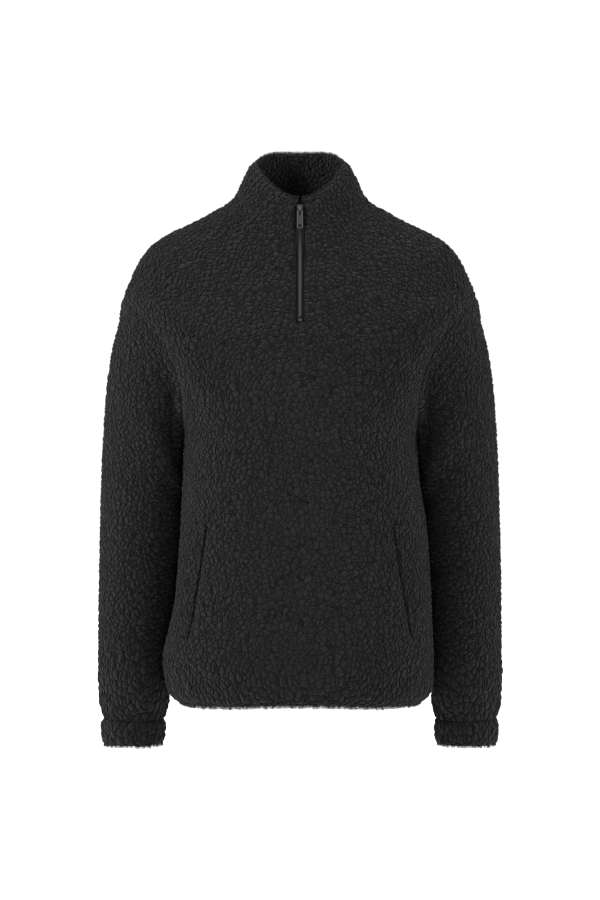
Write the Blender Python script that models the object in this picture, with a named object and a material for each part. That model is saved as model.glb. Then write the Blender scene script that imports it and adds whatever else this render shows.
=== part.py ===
"""Half-zip sweatshirt in sherpa fleece, filled out as it is worn, with nobody in it.

Every size below is in millimetres; place() turns the points into metres.
+X is to the right of someone who looks at the front, +Y goes to the back and +Z goes up.
The origin is between the neck points of the shoulders, where the wearer holds the garment up.
"""

import math

import bmesh
import bpy
import numpy as np
from mathutils import Matrix
from mathutils.bvhtree import BVHTree

MM = 0.001
FRONT, BACK = -1, 1
LEFT, RIGHT = -1, 1

CLOTH = 4.5  # sherpa with its pile
SEAM_GAP = 0.4

HEM_Z = -647.0
HEM_ARCH = 6.5  # the front's hem rises this much at its middle
UNDERARM_Z = -300.0
ZIP_END_Z = -156.0
ZIP_SLOT = 10.6

POCKET_TOP = (121.0, -416.0)  # x and z on the front
POCKET_FOOT = (147.0, -553.0)
POCKET_GAP = 5.2
# The front's columns at the pocket: how far from the slit's edge, and how high. It dips along the welt's seam
# and lies lower under the welt.
POCKET_RELIEF = ((-11, 0.4), (0, -2.6), (0, -5.2), (15, -2.4))
WELT = {"wide": 19.0, "past_end": 4.0, "sewn_thick": 3.4, "end_thick": 2.4, "lift": 0.35}
BAG = {"thick": 1.6, "behind": 0.5}

# Heights of the grid's rows below the arms. The pocket's two ends are rows.
LOWER_ROWS = (-647, -641, -631, -614, -588, -553, -538, -506, -470, -434, -416, -384, -343, -300)
ARMHOLE_ROWS = 10
SHOULDER_ROWS = 6
HALF_COLUMNS = 10
# Columns that follow the zip's slot and the pocket's slit.
SLOT_COLUMN = 1
SLIT_COLUMN = 6


def table(names, rows):
    """The columns of a table, by name."""
    return dict(zip(names.split(), np.array(rows, float).T))


# Rings of the body below the arms: half widths on each side, depths before and behind, and where the side
# seam lies.
BODY_RINGS = table(
    "z left right front back side_y",
    [
        (-647, 157.0, 157.0, 121, 113, -6),
        (-640, 163.5, 166.0, 126, 118, -8),
        (-631, 170.0, 170.5, 130, 121, -10),
        (-617, 175.0, 173.0, 133, 124, -12),
        (-600, 177.5, 173.5, 135, 125, -14),
        (-579, 176.5, 173.0, 135, 125, -15),
        (-555, 170.5, 171.5, 134, 124, -16),
        (-516, 162.0, 170.0, 132, 121, -17),
        (-465, 157.5, 167.0, 130, 117, -17),
        (-411, 154.0, 162.5, 129, 115, -15),
        (-360, 151.8, 154.5, 129, 116, -10),
        (-300, 150.5, 151.5, 128, 118, 6),
    ],
)

# Centre lines of the front and back, from the underarm (level 1) over the shoulder point (level 2) to the
# neck (level 3). turn is how far a row bends round to its edge, and lift how far it arches up on its way.
UPPER_BODY = table(
    "level front_z front front_turn front_lift back_z back back_turn back_lift",
    [
        (1.00, -300, 128, 90, 0, -300, 118, 90, 0),
        (1.25, -269, 127, 85, 0, -262, 119, 84, 0),
        (1.50, -237, 125.5, 74, 5, -224, 118.5, 73, 2),
        (1.75, -207, 122, 72, 15, -184, 115, 72, 8),
        (1.90, -186, 119, 78, 20, -160, 111.5, 78, 12),
        (2.00, -172, 116.5, 84, 21, -144, 108.5, 84, 13),
        (2 + 1 / 6, -156, 112, 90, 14, -121, 103.5, 90, 8),
        (2.30, -143, 108.5, 90, 9, -104, 98, 90, 4),
        (2.65, -110, 99, 90, 0, -57, 84, 90, 0),
        (3.00, -73, 86, 90, 0, -8, 68, 90, 0),
    ],
)

# The shoulder seam, from the armhole (level 2) to the neck (level 3).
SHOULDER_SEAM = table(
    "level x y z",
    [
        (2.00, 231.5, 6, -128),
        (2.07, 225.5, 6, -116.5),
        (2.16, 218.0, 5, -99),
        (2.28, 207.5, 4, -77),
        (2.42, 192.0, 3, -57),
        (2.60, 168.0, 2, -41),
        (2.80, 136.0, 1, -25.5),
        (3.00, 100.0, 0, -6),
    ],
)

# Rings of the sleeve, from the armhole to the cuff. depth is half the ring's depth and bow pulls its front
# and back in towards the chest.
SLEEVE_RINGS = table(
    "t outer_x outer_z left_inner right_inner inner_z y front_depth back_depth bow",
    [
        (0.00, 231.5, -128, 150.5, 151.5, -300, 6, 72, 76, 28),
        (0.06, 236.0, -158, 151.8, 152.8, -318, 9, 71, 74, 24),
        (0.12, 243.0, -184, 152.5, 153.4, -334, 13, 70, 72, 20),
        (0.20, 250.0, -222, 153.0, 155.0, -356, 18, 69, 70, 14),
        (0.30, 255.0, -268, 153.2, 158.4, -384, 24, 67, 68, 8),
        (0.42, 259.5, -335, 153.4, 162.0, -425, 29, 64, 65, 3),
        (0.55, 262.8, -425, 156.5, 165.8, -482, 32, 60, 61, 0),
        (0.68, 264.8, -510, 164.5, 168.5, -540, 32, 56, 57, 0),
        (0.80, 265.6, -580, 174.5, 171.5, -592, 30, 51, 52, 0),
        (0.90, 265.2, -630, 173.0, 173.5, -633, 28, 45, 46, 0),
        (0.96, 262.8, -655, 174.5, 175.0, -656, 27, 40.5, 41, 0),
        (1.00, 259.0, -669, 177.5, 177.5, -669, 26, 37, 38, 0),
    ],
)
SLEEVE_STEPS = (0, 0.03, 0.07, 0.12, 0.18, 0.25, 0.33, 0.41, 0.48, 0.55, 0.62, 0.7, 0.78, 0.86, 0.92, 0.96, 1)

# Rings of the standing collar, from the neck seam up.
COLLAR_RINGS = table(
    "v side side_z front front_z back back_z wall",
    [
        (0.00, 100.0, -6, 86, -73, 68, -8, 4.5),
        (0.14, 90.5, 0, 82.5, -61, 67.5, 4, 5.5),
        (0.28, 83.5, 8, 80, -51, 67, 15, 6.5),
        (0.55, 75.5, 25, 74, -30, 64, 36, 7.0),
        (0.80, 67.5, 41, 69.5, -11, 60.5, 55, 7.0),
        (1.00, 62.0, 50, 66.5, 2, 58, 66, 7.0),
    ],
)
COLLAR_STEPS = (0, 0.12, 0.28, 0.52, 0.76, 1)
COLLAR_BACK_FLAT = 6  # the higher, the longer the back's edge stays level

# A cuff's section, down the outside, round the lower edge and up the inside: height over its foot, and how
# far in from its widest.
CUFF = {"x": 219.4, "y": 26.5, "half_width": 42.8, "half_depth": 40.4, "foot_z": -709.5}
CUFF_SECTION = table(
    "z inset",
    [(40.1, 2.6), (34, 0.5), (20, 0), (5, 0.8), (1, 2.6), (0, 4.4), (2, 6.6), (20, 6.6), (40.1, 8.2)],
)

# Soft folds, as lines on a panel seen from the front: crest or trough height, and half width across.
FOLDS = table(
    "face side x0 z0 x1 z1 width height",
    [
        (FRONT, LEFT, 146, -232, 96, -262, 13, 1.8),
        (FRONT, LEFT, 150, -262, 104, -306, 12, -1.6),
        (FRONT, RIGHT, 148, -228, 100, -252, 13, 1.8),
        (FRONT, RIGHT, 150, -258, 92, -296, 13, -1.7),
        (FRONT, LEFT, 160, -596, 96, -628, 14, -1.8),
        (FRONT, RIGHT, 164, -590, 110, -622, 14, -1.6),
        (FRONT, LEFT, 60, -150, 92, -222, 16, -1.5),
        (FRONT, RIGHT, 64, -146, 104, -208, 16, -1.5),
        (BACK, LEFT, 150, -236, 92, -276, 14, -2.0),
        (BACK, LEFT, 156, -276, 84, -338, 15, 2.0),
        (BACK, RIGHT, 150, -240, 88, -284, 14, -2.0),
        (BACK, RIGHT, 156, -282, 96, -352, 15, 2.0),
        (BACK, LEFT, 150, -520, 60, -566, 18, 2.2),
        (BACK, RIGHT, 152, -500, 72, -552, 18, 2.2),
        (BACK, RIGHT, 148, -580, 40, -604, 16, -1.8),
    ],
)

# Creases across a sleeve: place along it, angle round it (0 outside, 90 behind, 180 inside, 270 in front),
# how far each way they reach, and height.
SLEEVE_CREASES = table(
    "t angle reach_t reach_angle height",
    [
        (0.17, 250, 0.035, 42, -2.6),
        (0.26, 232, 0.040, 48, 2.0),
        (0.34, 214, 0.035, 46, -2.2),
        (0.49, 150, 0.035, 50, 2.2),
        (0.55, 170, 0.030, 55, -2.6),
        (0.61, 150, 0.035, 50, 2.0),
        (0.15, 100, 0.040, 40, -2.4),
        (0.24, 110, 0.040, 40, 2.0),
        (0.87, 300, 0.030, 60, 1.8),
        (0.93, 200, 0.028, 80, 1.6),
    ],
)

# Depths are from the front's outer surface inwards, and lengths run down the zip from the collar's top.
ZIP = {
    "tape_inner": 0.8, "tape_outer": ZIP_SLOT / 2 - 0.35, "tape_depth": 2.3, "tape_thick": 1.0,
    "chain_wide": 5.8, "chain_depth": 0.5, "chain_thick": 1.5, "start": 1.5, "step": 9.0,
    "stop_wide": 5.0, "stop_long": 3.4, "stop_thick": 2.3,
}
SLIDER = {
    "wide": 7.4, "long": 10.0, "start": 9.7, "under": 0.2, "plate": 1.3,
    "bridge_wide": 2.0, "bridge_long": 8.4, "bridge_thick": 1.1, "bridge_rise": 3.6, "post": 1.2,
}
TAB = {
    "wide": 8.6, "long": 25.0, "thick": 1.3, "bar": 1.5, "window_wide": 4.4, "window_long": 7.0,
    "eye_wide": 4.0, "eye_long": 3.2, "eye_up": 2.2,
}

COLOURS = {  # base colour, roughness, metallic
    "sherpa": ((0.020, 0.020, 0.019, 1), 0.95, 0.0),
    "bag": ((0.014, 0.014, 0.014, 1), 0.9, 0.0),
    "tape": ((0.010, 0.010, 0.011, 1), 0.8, 0.0),
    "chain": ((0.045, 0.047, 0.052, 1), 0.45, 0.0),
    "metal": ((0.060, 0.062, 0.066, 1), 0.38, 0.8),
}


def smooth(at, xs, ys):
    """A smooth curve through a table's points, read at these places."""
    slopes = np.gradient(ys, xs)
    at = np.clip(at, xs[0], xs[-1])
    i = np.clip(np.searchsorted(xs, at, side="right") - 1, 0, len(xs) - 2)
    wide = xs[i + 1] - xs[i]
    t = (at - xs[i]) / wide
    ends = (2 * t**3 - 3 * t**2 + 1) * ys[i] + (3 * t**2 - 2 * t**3) * ys[i + 1]
    return ends + wide * ((t**3 - 2 * t**2 + t) * slopes[i] + (t**3 - t**2) * slopes[i + 1])


def column(rows, key, name, at):
    return smooth(at, rows[key], rows[name])


def unit(vectors):
    return vectors / np.maximum(np.linalg.norm(vectors, axis=-1, keepdims=True), 1e-9)


def fade(distance, full, none):
    """1 up to the first distance, 0 past the second, smooth between."""
    t = min(max((none - distance) / (none - full), 0), 1)
    return t * t * (3 - 2 * t)


# The outer surface of the cloth.


def sleeve_ring(side, t, angles):
    """Points of a sleeve's ring. Angle 0 is outside, 90 behind, 180 inside and 270 in front."""
    row = {name: column(SLEEVE_RINGS, "t", name, t) for name in SLEEVE_RINGS}
    inner_x = row["left_inner"] if side == LEFT else row["right_inner"]
    middle = np.array([(row["outer_x"] + inner_x) / 2, row["y"], (row["outer_z"] + row["inner_z"]) / 2])
    reach = np.array([(row["outer_x"] - inner_x) / 2, 0, (row["outer_z"] - row["inner_z"]) / 2])
    away = unit(np.array([reach[2], 0, -reach[0]]))
    c, s = np.cos(angles)[:, None], np.sin(angles)[:, None]
    depth = np.where(s < 0, row["front_depth"], row["back_depth"])
    points = middle + c * reach + s * depth * np.array([0, 1, 0]) - row["bow"] * s**2 * away
    return points * np.array([side, 1, 1])


def side_edge(face, side, level):
    """Where a row of the body ends: on the side seam, the armhole or the shoulder seam."""
    if level <= 1:
        z = HEM_Z + level * (UNDERARM_Z - HEM_Z)
        half = column(BODY_RINGS, "z", "left" if side == LEFT else "right", z)
        return np.array([side * half, column(BODY_RINGS, "z", "side_y", z), z])
    if level < 2:
        angle = math.pi * (level if face == FRONT else 2 - level)
        return sleeve_ring(side, 0.0, np.array([angle]))[0]
    return np.array([side * column(SHOULDER_SEAM, "level", "x", level)]
                    + [column(SHOULDER_SEAM, "level", name, level) for name in ("y", "z")])


def body_row(face, side, level, steps=240):
    """A fine row of the body from its centre line out to its edge."""
    edge = side_edge(face, side, level)
    name = "front" if face == FRONT else "back"
    if level <= 1:
        centre = np.array([0, face * column(BODY_RINGS, "z", name, edge[2]), edge[2]])
        turn, lift = math.pi / 2, 0
    else:
        depth, z, degrees, lift = (
            column(UPPER_BODY, "level", name + part, level) for part in ("", "_z", "_turn", "_lift"))
        centre = np.array([0, face * depth, z])
        turn = math.radians(min(degrees, 90))
    power = 2 / smooth(level, np.array([0, 1, 2, 3.0]), np.array([2.35, 2.45, 1.75, 2.0]))
    s = np.linspace(0, 1, steps)
    across = np.sin(s * turn) ** power / math.sin(turn) ** power
    back = (1 - np.cos(s * turn) ** power) / (1 - math.cos(turn) ** power)
    up = np.sin(s * math.pi / 2) ** 2
    arch = lift * 6.75 * s**2 * (1 - s)
    shares = np.stack([across, back, up], axis=1)
    return centre + (edge - centre) * shares + arch[:, None] * [0, 0, 1]


def slit_half_gap(z):
    """Half the width of the pocket's slit, which closes towards its ends."""
    share = (z - POCKET_FOOT[1]) / (POCKET_TOP[1] - POCKET_FOOT[1])
    return POCKET_GAP / 2 * (0.3 + 0.7 * math.sin(math.pi * min(max(share, 0), 1)) ** 0.7)


def slit_depth_share(z):
    """How much of the pocket's relief there is at this height."""
    return fade(max(z - POCKET_TOP[1], POCKET_FOOT[1] - z), -30, 14)


def slit_x(z):
    share = (z - POCKET_FOOT[1]) / (POCKET_TOP[1] - POCKET_FOOT[1])
    return POCKET_FOOT[0] + share * (POCKET_TOP[0] - POCKET_FOOT[0])


def column_places(row, front, z):
    """How far along a row each column lies. On the front, columns follow the zip's slot and the slit."""
    length = np.concatenate([[0], np.cumsum(np.linalg.norm(np.diff(row, axis=0), axis=1))])
    even = np.linspace(0, length[-1], HALF_COLUMNS + 1)
    if not front:
        return length, even
    zip_share = fade(ZIP_END_Z - z, 8, 70)
    slit_share = fade(max(z - POCKET_TOP[1], POCKET_FOOT[1] - z), 4, 90)
    at_slit = np.interp(min(max(slit_x(z), 60), abs(row[-1, 0]) - 12), np.abs(row[:, 0]), length)
    half = slit_half_gap(z)
    slot = even[SLOT_COLUMN] + zip_share * (ZIP_SLOT / 2 - even[SLOT_COLUMN])
    guides = {0: 0.0, SLOT_COLUMN: slot, HALF_COLUMNS: length[-1]}
    for step, (beyond, _) in enumerate(POCKET_RELIEF):
        along = beyond + (half if step > 1 else -half)
        k = SLIT_COLUMN - 1 + step
        guides[k] = even[k] + slit_share * (at_slit + along - even[k])
    marks = sorted(guides)
    return length, np.interp(np.arange(HALF_COLUMNS + 1), marks, [guides[k] for k in marks])


def body_levels():
    lower = [(z - HEM_Z) / (UNDERARM_Z - HEM_Z) for z in LOWER_ROWS]
    armhole = [1 + k / ARMHOLE_ROWS for k in range(1, ARMHOLE_ROWS + 1)]
    shoulder = [2 + k / SHOULDER_ROWS for k in range(1, SHOULDER_ROWS + 1)]
    return lower + armhole + shoulder


def body_grid(face):
    """A panel's points, hem to neck, each row from the left edge to the right."""
    rows = []
    for level in body_levels():
        halves = []
        for side in (LEFT, RIGHT):
            row = body_row(face, side, level)
            length, places = column_places(row, face == FRONT, row[0, 2])
            halves.append(np.stack([np.interp(places, length, row[:, k]) for k in range(3)], axis=1))
        rows.append(np.concatenate([halves[0][::-1], halves[1][1:]]))
    grid = np.array(rows)
    if face == FRONT:
        low = np.array([fade(z - HEM_Z, 10, 80) for z in grid[:, HALF_COLUMNS, 2]])[:, None]
        grid[..., 2] += HEM_ARCH * low * np.cos(np.clip(grid[..., 0] / 165, -1, 1) * math.pi / 2) ** 2
    return grid


def sleeve_grid(side):
    angles = np.arange(2 * ARMHOLE_ROWS) * math.pi / ARMHOLE_ROWS
    return np.array([sleeve_ring(side, t, angles) for t in SLEEVE_STEPS])


def collar_ring(v, turns):
    """Points of a collar ring. Turn 0 is centre front, 1 a side and 2 centre back, with its sign."""
    row = {name: column(COLLAR_RINGS, "v", name, v) for name in COLLAR_RINGS}
    slot = math.asin(ZIP_SLOT / 2 / row["side"]) / (math.pi / 2)
    points = []
    for k, (side, turn) in enumerate(turns):
        turn = slot if k in (0, len(turns) - 1) else turn
        face = "front" if turn <= 1 else "back"
        s = turn if turn <= 1 else 2 - turn
        a = s * math.pi / 2
        y = (FRONT if turn <= 1 else BACK) * row[face] * math.cos(a)
        drop = 2 if turn <= 1 else 2 + (COLLAR_BACK_FLAT - 2) * v
        z = row[face + "_z"] + (row["side_z"] - row[face + "_z"]) * math.sin(a) ** drop
        points.append((side * row["side"] * math.sin(a), y, z))
    return np.array(points)


def collar_turns(front_neck, back_neck):
    """The turn of each point of the neck seam, from one side of the zip round the back to the other."""
    def turn_of(points, row_side):
        return np.arcsin(np.clip(np.abs(points[:, 0]) / row_side, 0, 1)) / (math.pi / 2)
    side = COLLAR_RINGS["side"][0]
    front, back = turn_of(front_neck, side), turn_of(back_neck, side)
    middle = HALF_COLUMNS
    left_front = [(LEFT, t) for t in front[middle - SLOT_COLUMN::-1]]
    back_run = [(LEFT if k < middle else RIGHT, 2 - t) for k, t in enumerate(back)][1:-1]
    right_front = [(RIGHT, t) for t in front[:middle + SLOT_COLUMN - 1:-1]]
    return left_front + back_run + right_front


# Relief, and the wall that is made from a surface.


def grid_normals(grid, closed, outward):
    """Normals of a grid of points, pointing out of the cloth."""
    if closed:
        along = np.roll(grid, -1, axis=1) - np.roll(grid, 1, axis=1)
    else:
        along = np.gradient(grid, axis=1)
    up = np.gradient(grid, axis=0)
    return unit(np.cross(along, up)) * outward


def near_line(points, x0, z0, x1, z1, width):
    """1 on a line seen from the front, falling softly to 0 beside it and past its ends."""
    start, run = np.array([x0, z0]), np.array([x1 - x0, z1 - z0])
    flat = points[..., [0, 2]] - start
    length = np.linalg.norm(run)
    t = flat @ run / length**2
    beside = np.abs(flat @ np.array([-run[1], run[0]])) / length
    ends = np.clip(np.minimum(t + 0.25, 1.25 - t) / 0.5, 0, 1)
    return np.exp(-((beside / width) ** 2)) * ends**2 * (3 - 2 * ends)


def body_relief(face, grid):
    """How far each point of a panel stands out: its folds, and on the front each pocket's lip and hollow."""
    out = np.zeros(grid.shape[:2])
    for k in range(len(FOLDS["face"])):
        if FOLDS["face"][k] != face:
            continue
        side = FOLDS["side"][k]
        ends = [FOLDS[name][k] for name in ("x0", "z0", "x1", "z1", "width")]
        mine = np.sign(grid[..., 0]) == side
        out += mine * FOLDS["height"][k] * near_line(np.abs(grid) * [1, 1, -1], *ends)
    edge = np.minimum(np.arange(grid.shape[1]), np.arange(grid.shape[1])[::-1])
    out *= np.clip(edge / 2, 0, 1) * np.clip((len(grid) - 1 - np.arange(len(grid))) / 2, 0, 1)[:, None]
    if face == FRONT:
        for i, z in enumerate(LOWER_ROWS):
            for step, (_, height) in enumerate(POCKET_RELIEF):
                for side in (LEFT, RIGHT):
                    out[i, HALF_COLUMNS + side * (SLIT_COLUMN - 1 + step)] += slit_depth_share(z) * height
    return out


def sleeve_relief(side, grid):
    """Creases round the elbow and the armhole, with the gathers over the cuff."""
    t = np.array(SLEEVE_STEPS)[:, None]
    angles = np.degrees(np.arange(grid.shape[1]) * 2 * math.pi / grid.shape[1])[None]
    out = np.zeros(grid.shape[:2])
    for k in range(len(SLEEVE_CREASES["t"])):
        crease = {name: SLEEVE_CREASES[name][k] for name in SLEEVE_CREASES}
        off = (angles - crease["angle"] - 14 * side + 180) % 360 - 180
        out += crease["height"] * np.exp(-(((t - crease["t"]) / crease["reach_t"]) ** 2)
                                         - (off / crease["reach_angle"]) ** 2)
    gathers = np.exp(-(((t - 0.95) / 0.03) ** 2)) * np.cos(np.radians(angles * 6 + 40 * side))
    return (out + 0.9 * gathers) * np.clip(t / 0.08, 0, 1) * np.clip((1 - t) / 0.03, 0, 1)


def shared_normals(panels):
    """Seams get one normal for both of their panels, so that their walls meet face to face."""
    groups = {}
    for panel in panels.values():
        for key, normal in zip(seam_keys(panel["points"]), panel["normals"].reshape(-1, 3)):
            groups.setdefault(key, {}).setdefault(panel["group"], []).append(normal)
    joined = {}
    for key, by_group in groups.items():
        means = [unit(np.mean(normals, axis=0)) for normals in by_group.values()]
        joined[key] = unit(np.sum(means, axis=0))
    for panel in panels.values():
        keys = seam_keys(panel["points"])
        panel["shared"] = np.array([joined[key] for key in keys]).reshape(panel["points"].shape)


def seam_keys(points):
    return [tuple(p) for p in np.round(points.reshape(-1, 3), 1) + 0.0]


def triangles(corners, mirrored=False):
    """A cell's two triangles, split along its rising diagonal or, mirrored, along the other one."""
    a, b, c, d = corners
    return [[b, c, d], [b, d, a]] if mirrored else [[a, b, c], [a, c, d]]


def panel_faces(panel):
    """Triangles of a panel's outer surface. Both halves of the body are split alike."""
    rows, columns = panel["points"].shape[:2]
    last = columns if panel["closed"] else columns - 1
    faces = []
    for i in range(rows - 1):
        for j in range(last):
            if (i, j) in panel["holes"]:
                continue
            k = (j + 1) % columns
            corners = (i * columns + j, i * columns + k, (i + 1) * columns + k, (i + 1) * columns + j)
            faces += triangles(corners, panel["group"] == "body" and j >= HALF_COLUMNS)
    return faces if panel["outward"] > 0 else [face[::-1] for face in faces]


def border_edges(faces):
    """Directed edges with a face on one side only."""
    edges = {}
    for n, face in enumerate(faces):
        for a, b in zip(face, face[1:] + face[:1]):
            edges[a, b] = n
    return {edge: n for edge, n in edges.items() if edge[::-1] not in edges}


def open_seams(panel, faces, borders):
    """Moves a panel's edges in by half of the seam gap, square to the rim."""
    points, shared = panel["points"].reshape(-1, 3), panel["shared"].reshape(-1, 3)
    own = panel["normals"].reshape(-1, 3)
    pushes = {}
    for (a, b), n in borders.items():
        inside = points[faces[n]].mean(axis=0)
        along = unit(points[b] - points[a])
        for v in (a, b):
            push = np.cross(along, shared[v])
            push = unit(push if np.linalg.norm(push) > 0.4 else np.cross(along, own[v]))
            towards = unit(inside - points[v]) - own[v]
            pushes.setdefault(v, []).append(push * (1 if push @ towards > 0 else -1))
    moves = np.zeros_like(points)
    for v, found in pushes.items():
        total = np.sum(found, axis=0)
        moves[v] = SEAM_GAP / 2 * total / max(1 + found[0] @ found[-1], 0.5) if len(found) == 2 else 0
    return moves


def sheet_faces(rows, columns, mirrored=False, holes=()):
    """Faces of a closed sheet whose points are a grid and then the same grid further in."""
    faces = []
    for i in range(rows - 1):
        for j in range(columns - 1):
            a = i * columns + j
            if (i, j) not in holes:
                faces += triangles((a, a + 1, a + columns + 1, a + columns), mirrored)
    size = rows * columns
    rims = [[b, a, a + size, b + size] for a, b in border_edges(faces)]
    return faces + [[v + size for v in face[::-1]] for face in faces] + rims


def wall_mesh(panel):
    """A closed wall: the outer surface, the inner one, and a rim round every edge."""
    faces = panel_faces(panel)
    borders = border_edges(faces)
    moves = open_seams(panel, faces, borders)
    relief = panel["relief"].reshape(-1, 1) * panel["shared"].reshape(-1, 3)
    outer = panel["points"].reshape(-1, 3) + moves + relief
    thick = panel["wall"].reshape(-1, 1)
    inner = outer - thick * panel["shared"].reshape(-1, 3)
    count = len(outer)
    inner_faces = [[v + count for v in face[::-1]] for face in faces]
    rims = []
    for a, b in borders:  # split the same way on both sides of a seam
        if tuple(outer[a]) < tuple(outer[b]):
            rims += [[b, a, b + count], [a, a + count, b + count]]
        else:
            rims += [[b, a, a + count], [b, a + count, b + count]]
    return np.concatenate([outer, inner]), faces + inner_faces + rims


# Blender objects.


def clear_scene():
    for obj in list(bpy.data.objects):
        bpy.data.objects.remove(obj)


def material(name):
    made = bpy.data.materials.get(name)
    if made is None:
        colour, roughness, metallic = COLOURS[name]
        made = bpy.data.materials.new(name)
        made.use_nodes = True
        shader = made.node_tree.nodes["Principled BSDF"]
        shader.inputs["Base Color"].default_value = colour
        shader.inputs["Roughness"].default_value = roughness
        shader.inputs["Metallic"].default_value = metallic
        made.diffuse_color = colour
    return made


def place(name, points, faces, finish, collection):
    """A mesh object from points in millimetres."""
    mesh = bpy.data.meshes.new(name)
    mesh.from_pydata((np.asarray(points) * MM).tolist(), [], faces)
    used = bmesh.new()
    used.from_mesh(mesh)
    loose = [v for v in used.verts if not v.link_faces]
    bmesh.ops.delete(used, geom=loose, context="VERTS")
    used.to_mesh(mesh)
    used.free()
    mesh.shade_smooth()
    mesh.set_sharp_from_angle(angle=math.radians(50))
    obj = bpy.data.objects.new(name, mesh)
    obj.data.materials.append(material(finish))
    collection.objects.link(obj)
    return obj


def body_panel(face):
    grid = body_grid(face)
    holes = set()
    middle = HALF_COLUMNS
    if face == FRONT:
        rows = grid[:, middle, 2]
        holes |= {(i, middle + k) for i in range(len(rows) - 1) if rows[i] > ZIP_END_Z - 1 for k in (-1, 0)}
        slit = [i for i, z in enumerate(LOWER_ROWS[:-1]) if POCKET_FOOT[1] - 1 < z < POCKET_TOP[1] - 1]
        holes |= {(i, j) for i in slit for j in (middle + SLIT_COLUMN, middle - SLIT_COLUMN - 1)}
    panel = {"points": grid, "closed": False, "outward": -face, "holes": holes, "group": "body"}
    panel["relief"] = body_relief(face, grid)
    panel["wall"] = np.full(grid.shape[:2], CLOTH)
    return panel


def sleeve_panel(side):
    grid = sleeve_grid(side)
    panel = {"points": grid, "closed": True, "outward": -side, "holes": set(), "group": "sleeve"}
    panel["relief"] = sleeve_relief(side, grid)
    panel["wall"] = np.full(grid.shape[:2], CLOTH)
    return panel


def collar_panel(front, back):
    turns = collar_turns(front["points"][-1], back["points"][-1])
    grid = np.array([collar_ring(v, turns) for v in COLLAR_STEPS])
    panel = {"points": grid, "closed": False, "outward": -1, "holes": set(), "group": "collar"}
    panel["relief"] = np.zeros(grid.shape[:2])
    walls = [column(COLLAR_RINGS, "v", "wall", v) for v in COLLAR_STEPS]
    panel["wall"] = np.repeat(np.array(walls)[:, None], grid.shape[1], axis=1)
    return panel


def cloth_panels():
    panels = {"front": body_panel(FRONT), "back": body_panel(BACK)}
    panels["sleeve_left"] = sleeve_panel(LEFT)
    panels["sleeve_right"] = sleeve_panel(RIGHT)
    panels["collar"] = collar_panel(panels["front"], panels["back"])
    for panel in panels.values():
        panel["normals"] = grid_normals(panel["points"], panel["closed"], panel["outward"])
    shared_normals(panels)
    for side in ("sleeve_left", "sleeve_right"):  # the cuff's seam is level
        level = panels[side]["shared"][-1] * np.array([1, 1, 0])
        panels[side]["shared"][-1] = unit(level)
    return panels


def cuff(side, collection):
    """A turned-up band: its section swept round an oval."""
    around = 2 * ARMHOLE_ROWS
    section = list(zip(CUFF_SECTION["z"], CUFF_SECTION["inset"]))
    points = []
    for k in range(around):
        a = 2 * math.pi * k / around
        for z, inset in section:
            x = CUFF["x"] + (CUFF["half_width"] - inset) * math.cos(a)
            y = CUFF["y"] + (CUFF["half_depth"] - inset) * math.sin(a)
            points.append((side * x, y, CUFF["foot_z"] + z))
    count = len(section)
    faces = []
    for k in range(around):
        here, there = k * count, (k + 1) % around * count
        for m in range(count):
            n = (m + 1) % count
            quad = [here + m, here + n, there + n, there + m]
            faces.append(quad if side == RIGHT else quad[::-1])
    name = "cuff_right" if side == RIGHT else "cuff_left"
    return place(name, points, faces, "sherpa", collection)


def front_beside(front, side, beside, z):
    """A point of the front's outer surface at this distance from the slit's middle line, and its normal."""
    found = []
    for i, row_z in enumerate(LOWER_ROWS):
        half = slit_half_gap(row_z)
        places = [beyond + (half if step > 1 else -half) for step, (beyond, _) in enumerate(POCKET_RELIEF)]
        columns = [HALF_COLUMNS + side * (SLIT_COLUMN - 1 + step) for step in range(len(places))]
        normals = front["shared"][i, columns]
        points = front["points"][i, columns] + normals * front["relief"][i, columns][:, None]
        both = np.concatenate([points, normals], axis=1)
        found.append([np.interp(beside, places, both[:, k]) for k in range(6)])
    there = np.array([np.interp(z, LOWER_ROWS, values) for values in np.array(found).T])
    return there[:3], unit(there[3:])


def welt(panels, side, collection):
    """A strip sewn to the slit's inner edge that covers the slit and stands up towards its free edge."""
    slit = [z for z in LOWER_ROWS if POCKET_FOOT[1] <= z <= POCKET_TOP[1]]
    ends = [POCKET_FOOT[1] - WELT["past_end"], POCKET_TOP[1] + WELT["past_end"]]
    heights = sorted(slit + ends)
    outer, inner = [], []
    for z in heights:
        half = float(np.interp(z, LOWER_ROWS, [slit_half_gap(row) for row in LOWER_ROWS]))
        end = fade(min(POCKET_TOP[1] - z, z - POCKET_FOOT[1]), 0, 26)
        free = WELT["wide"] - half
        in_slit = POCKET_FOOT[1] + 0.5 < z < POCKET_TOP[1] - 0.5
        for k, beside in enumerate((-half + 0.35, half, half + 5.5, free - 1.2, free)):
            point, normal = front_beside(panels["front"], side, beside, z)
            full = WELT["sewn_thick"] if k == 0 else CLOTH
            thick = full + (WELT["end_thick"] - full) * end
            low = WELT["lift"]
            if k == 0 and in_slit:
                low = -(0.4 + thick) * (1 - end) + WELT["lift"] * end
            folded = 1 if k == 4 else 0
            outer.append(point + normal * (low + thick - 1.3 * folded))
            inner.append(point + normal * (low + 0.9 * folded * (1 - end)))
    faces = sheet_faces(len(heights), 5, mirrored=True)
    if side == LEFT:
        faces = [face[::-1] for face in faces]
    return place("welt_right" if side == RIGHT else "welt_left", outer + inner, faces, "sherpa", collection)


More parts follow.
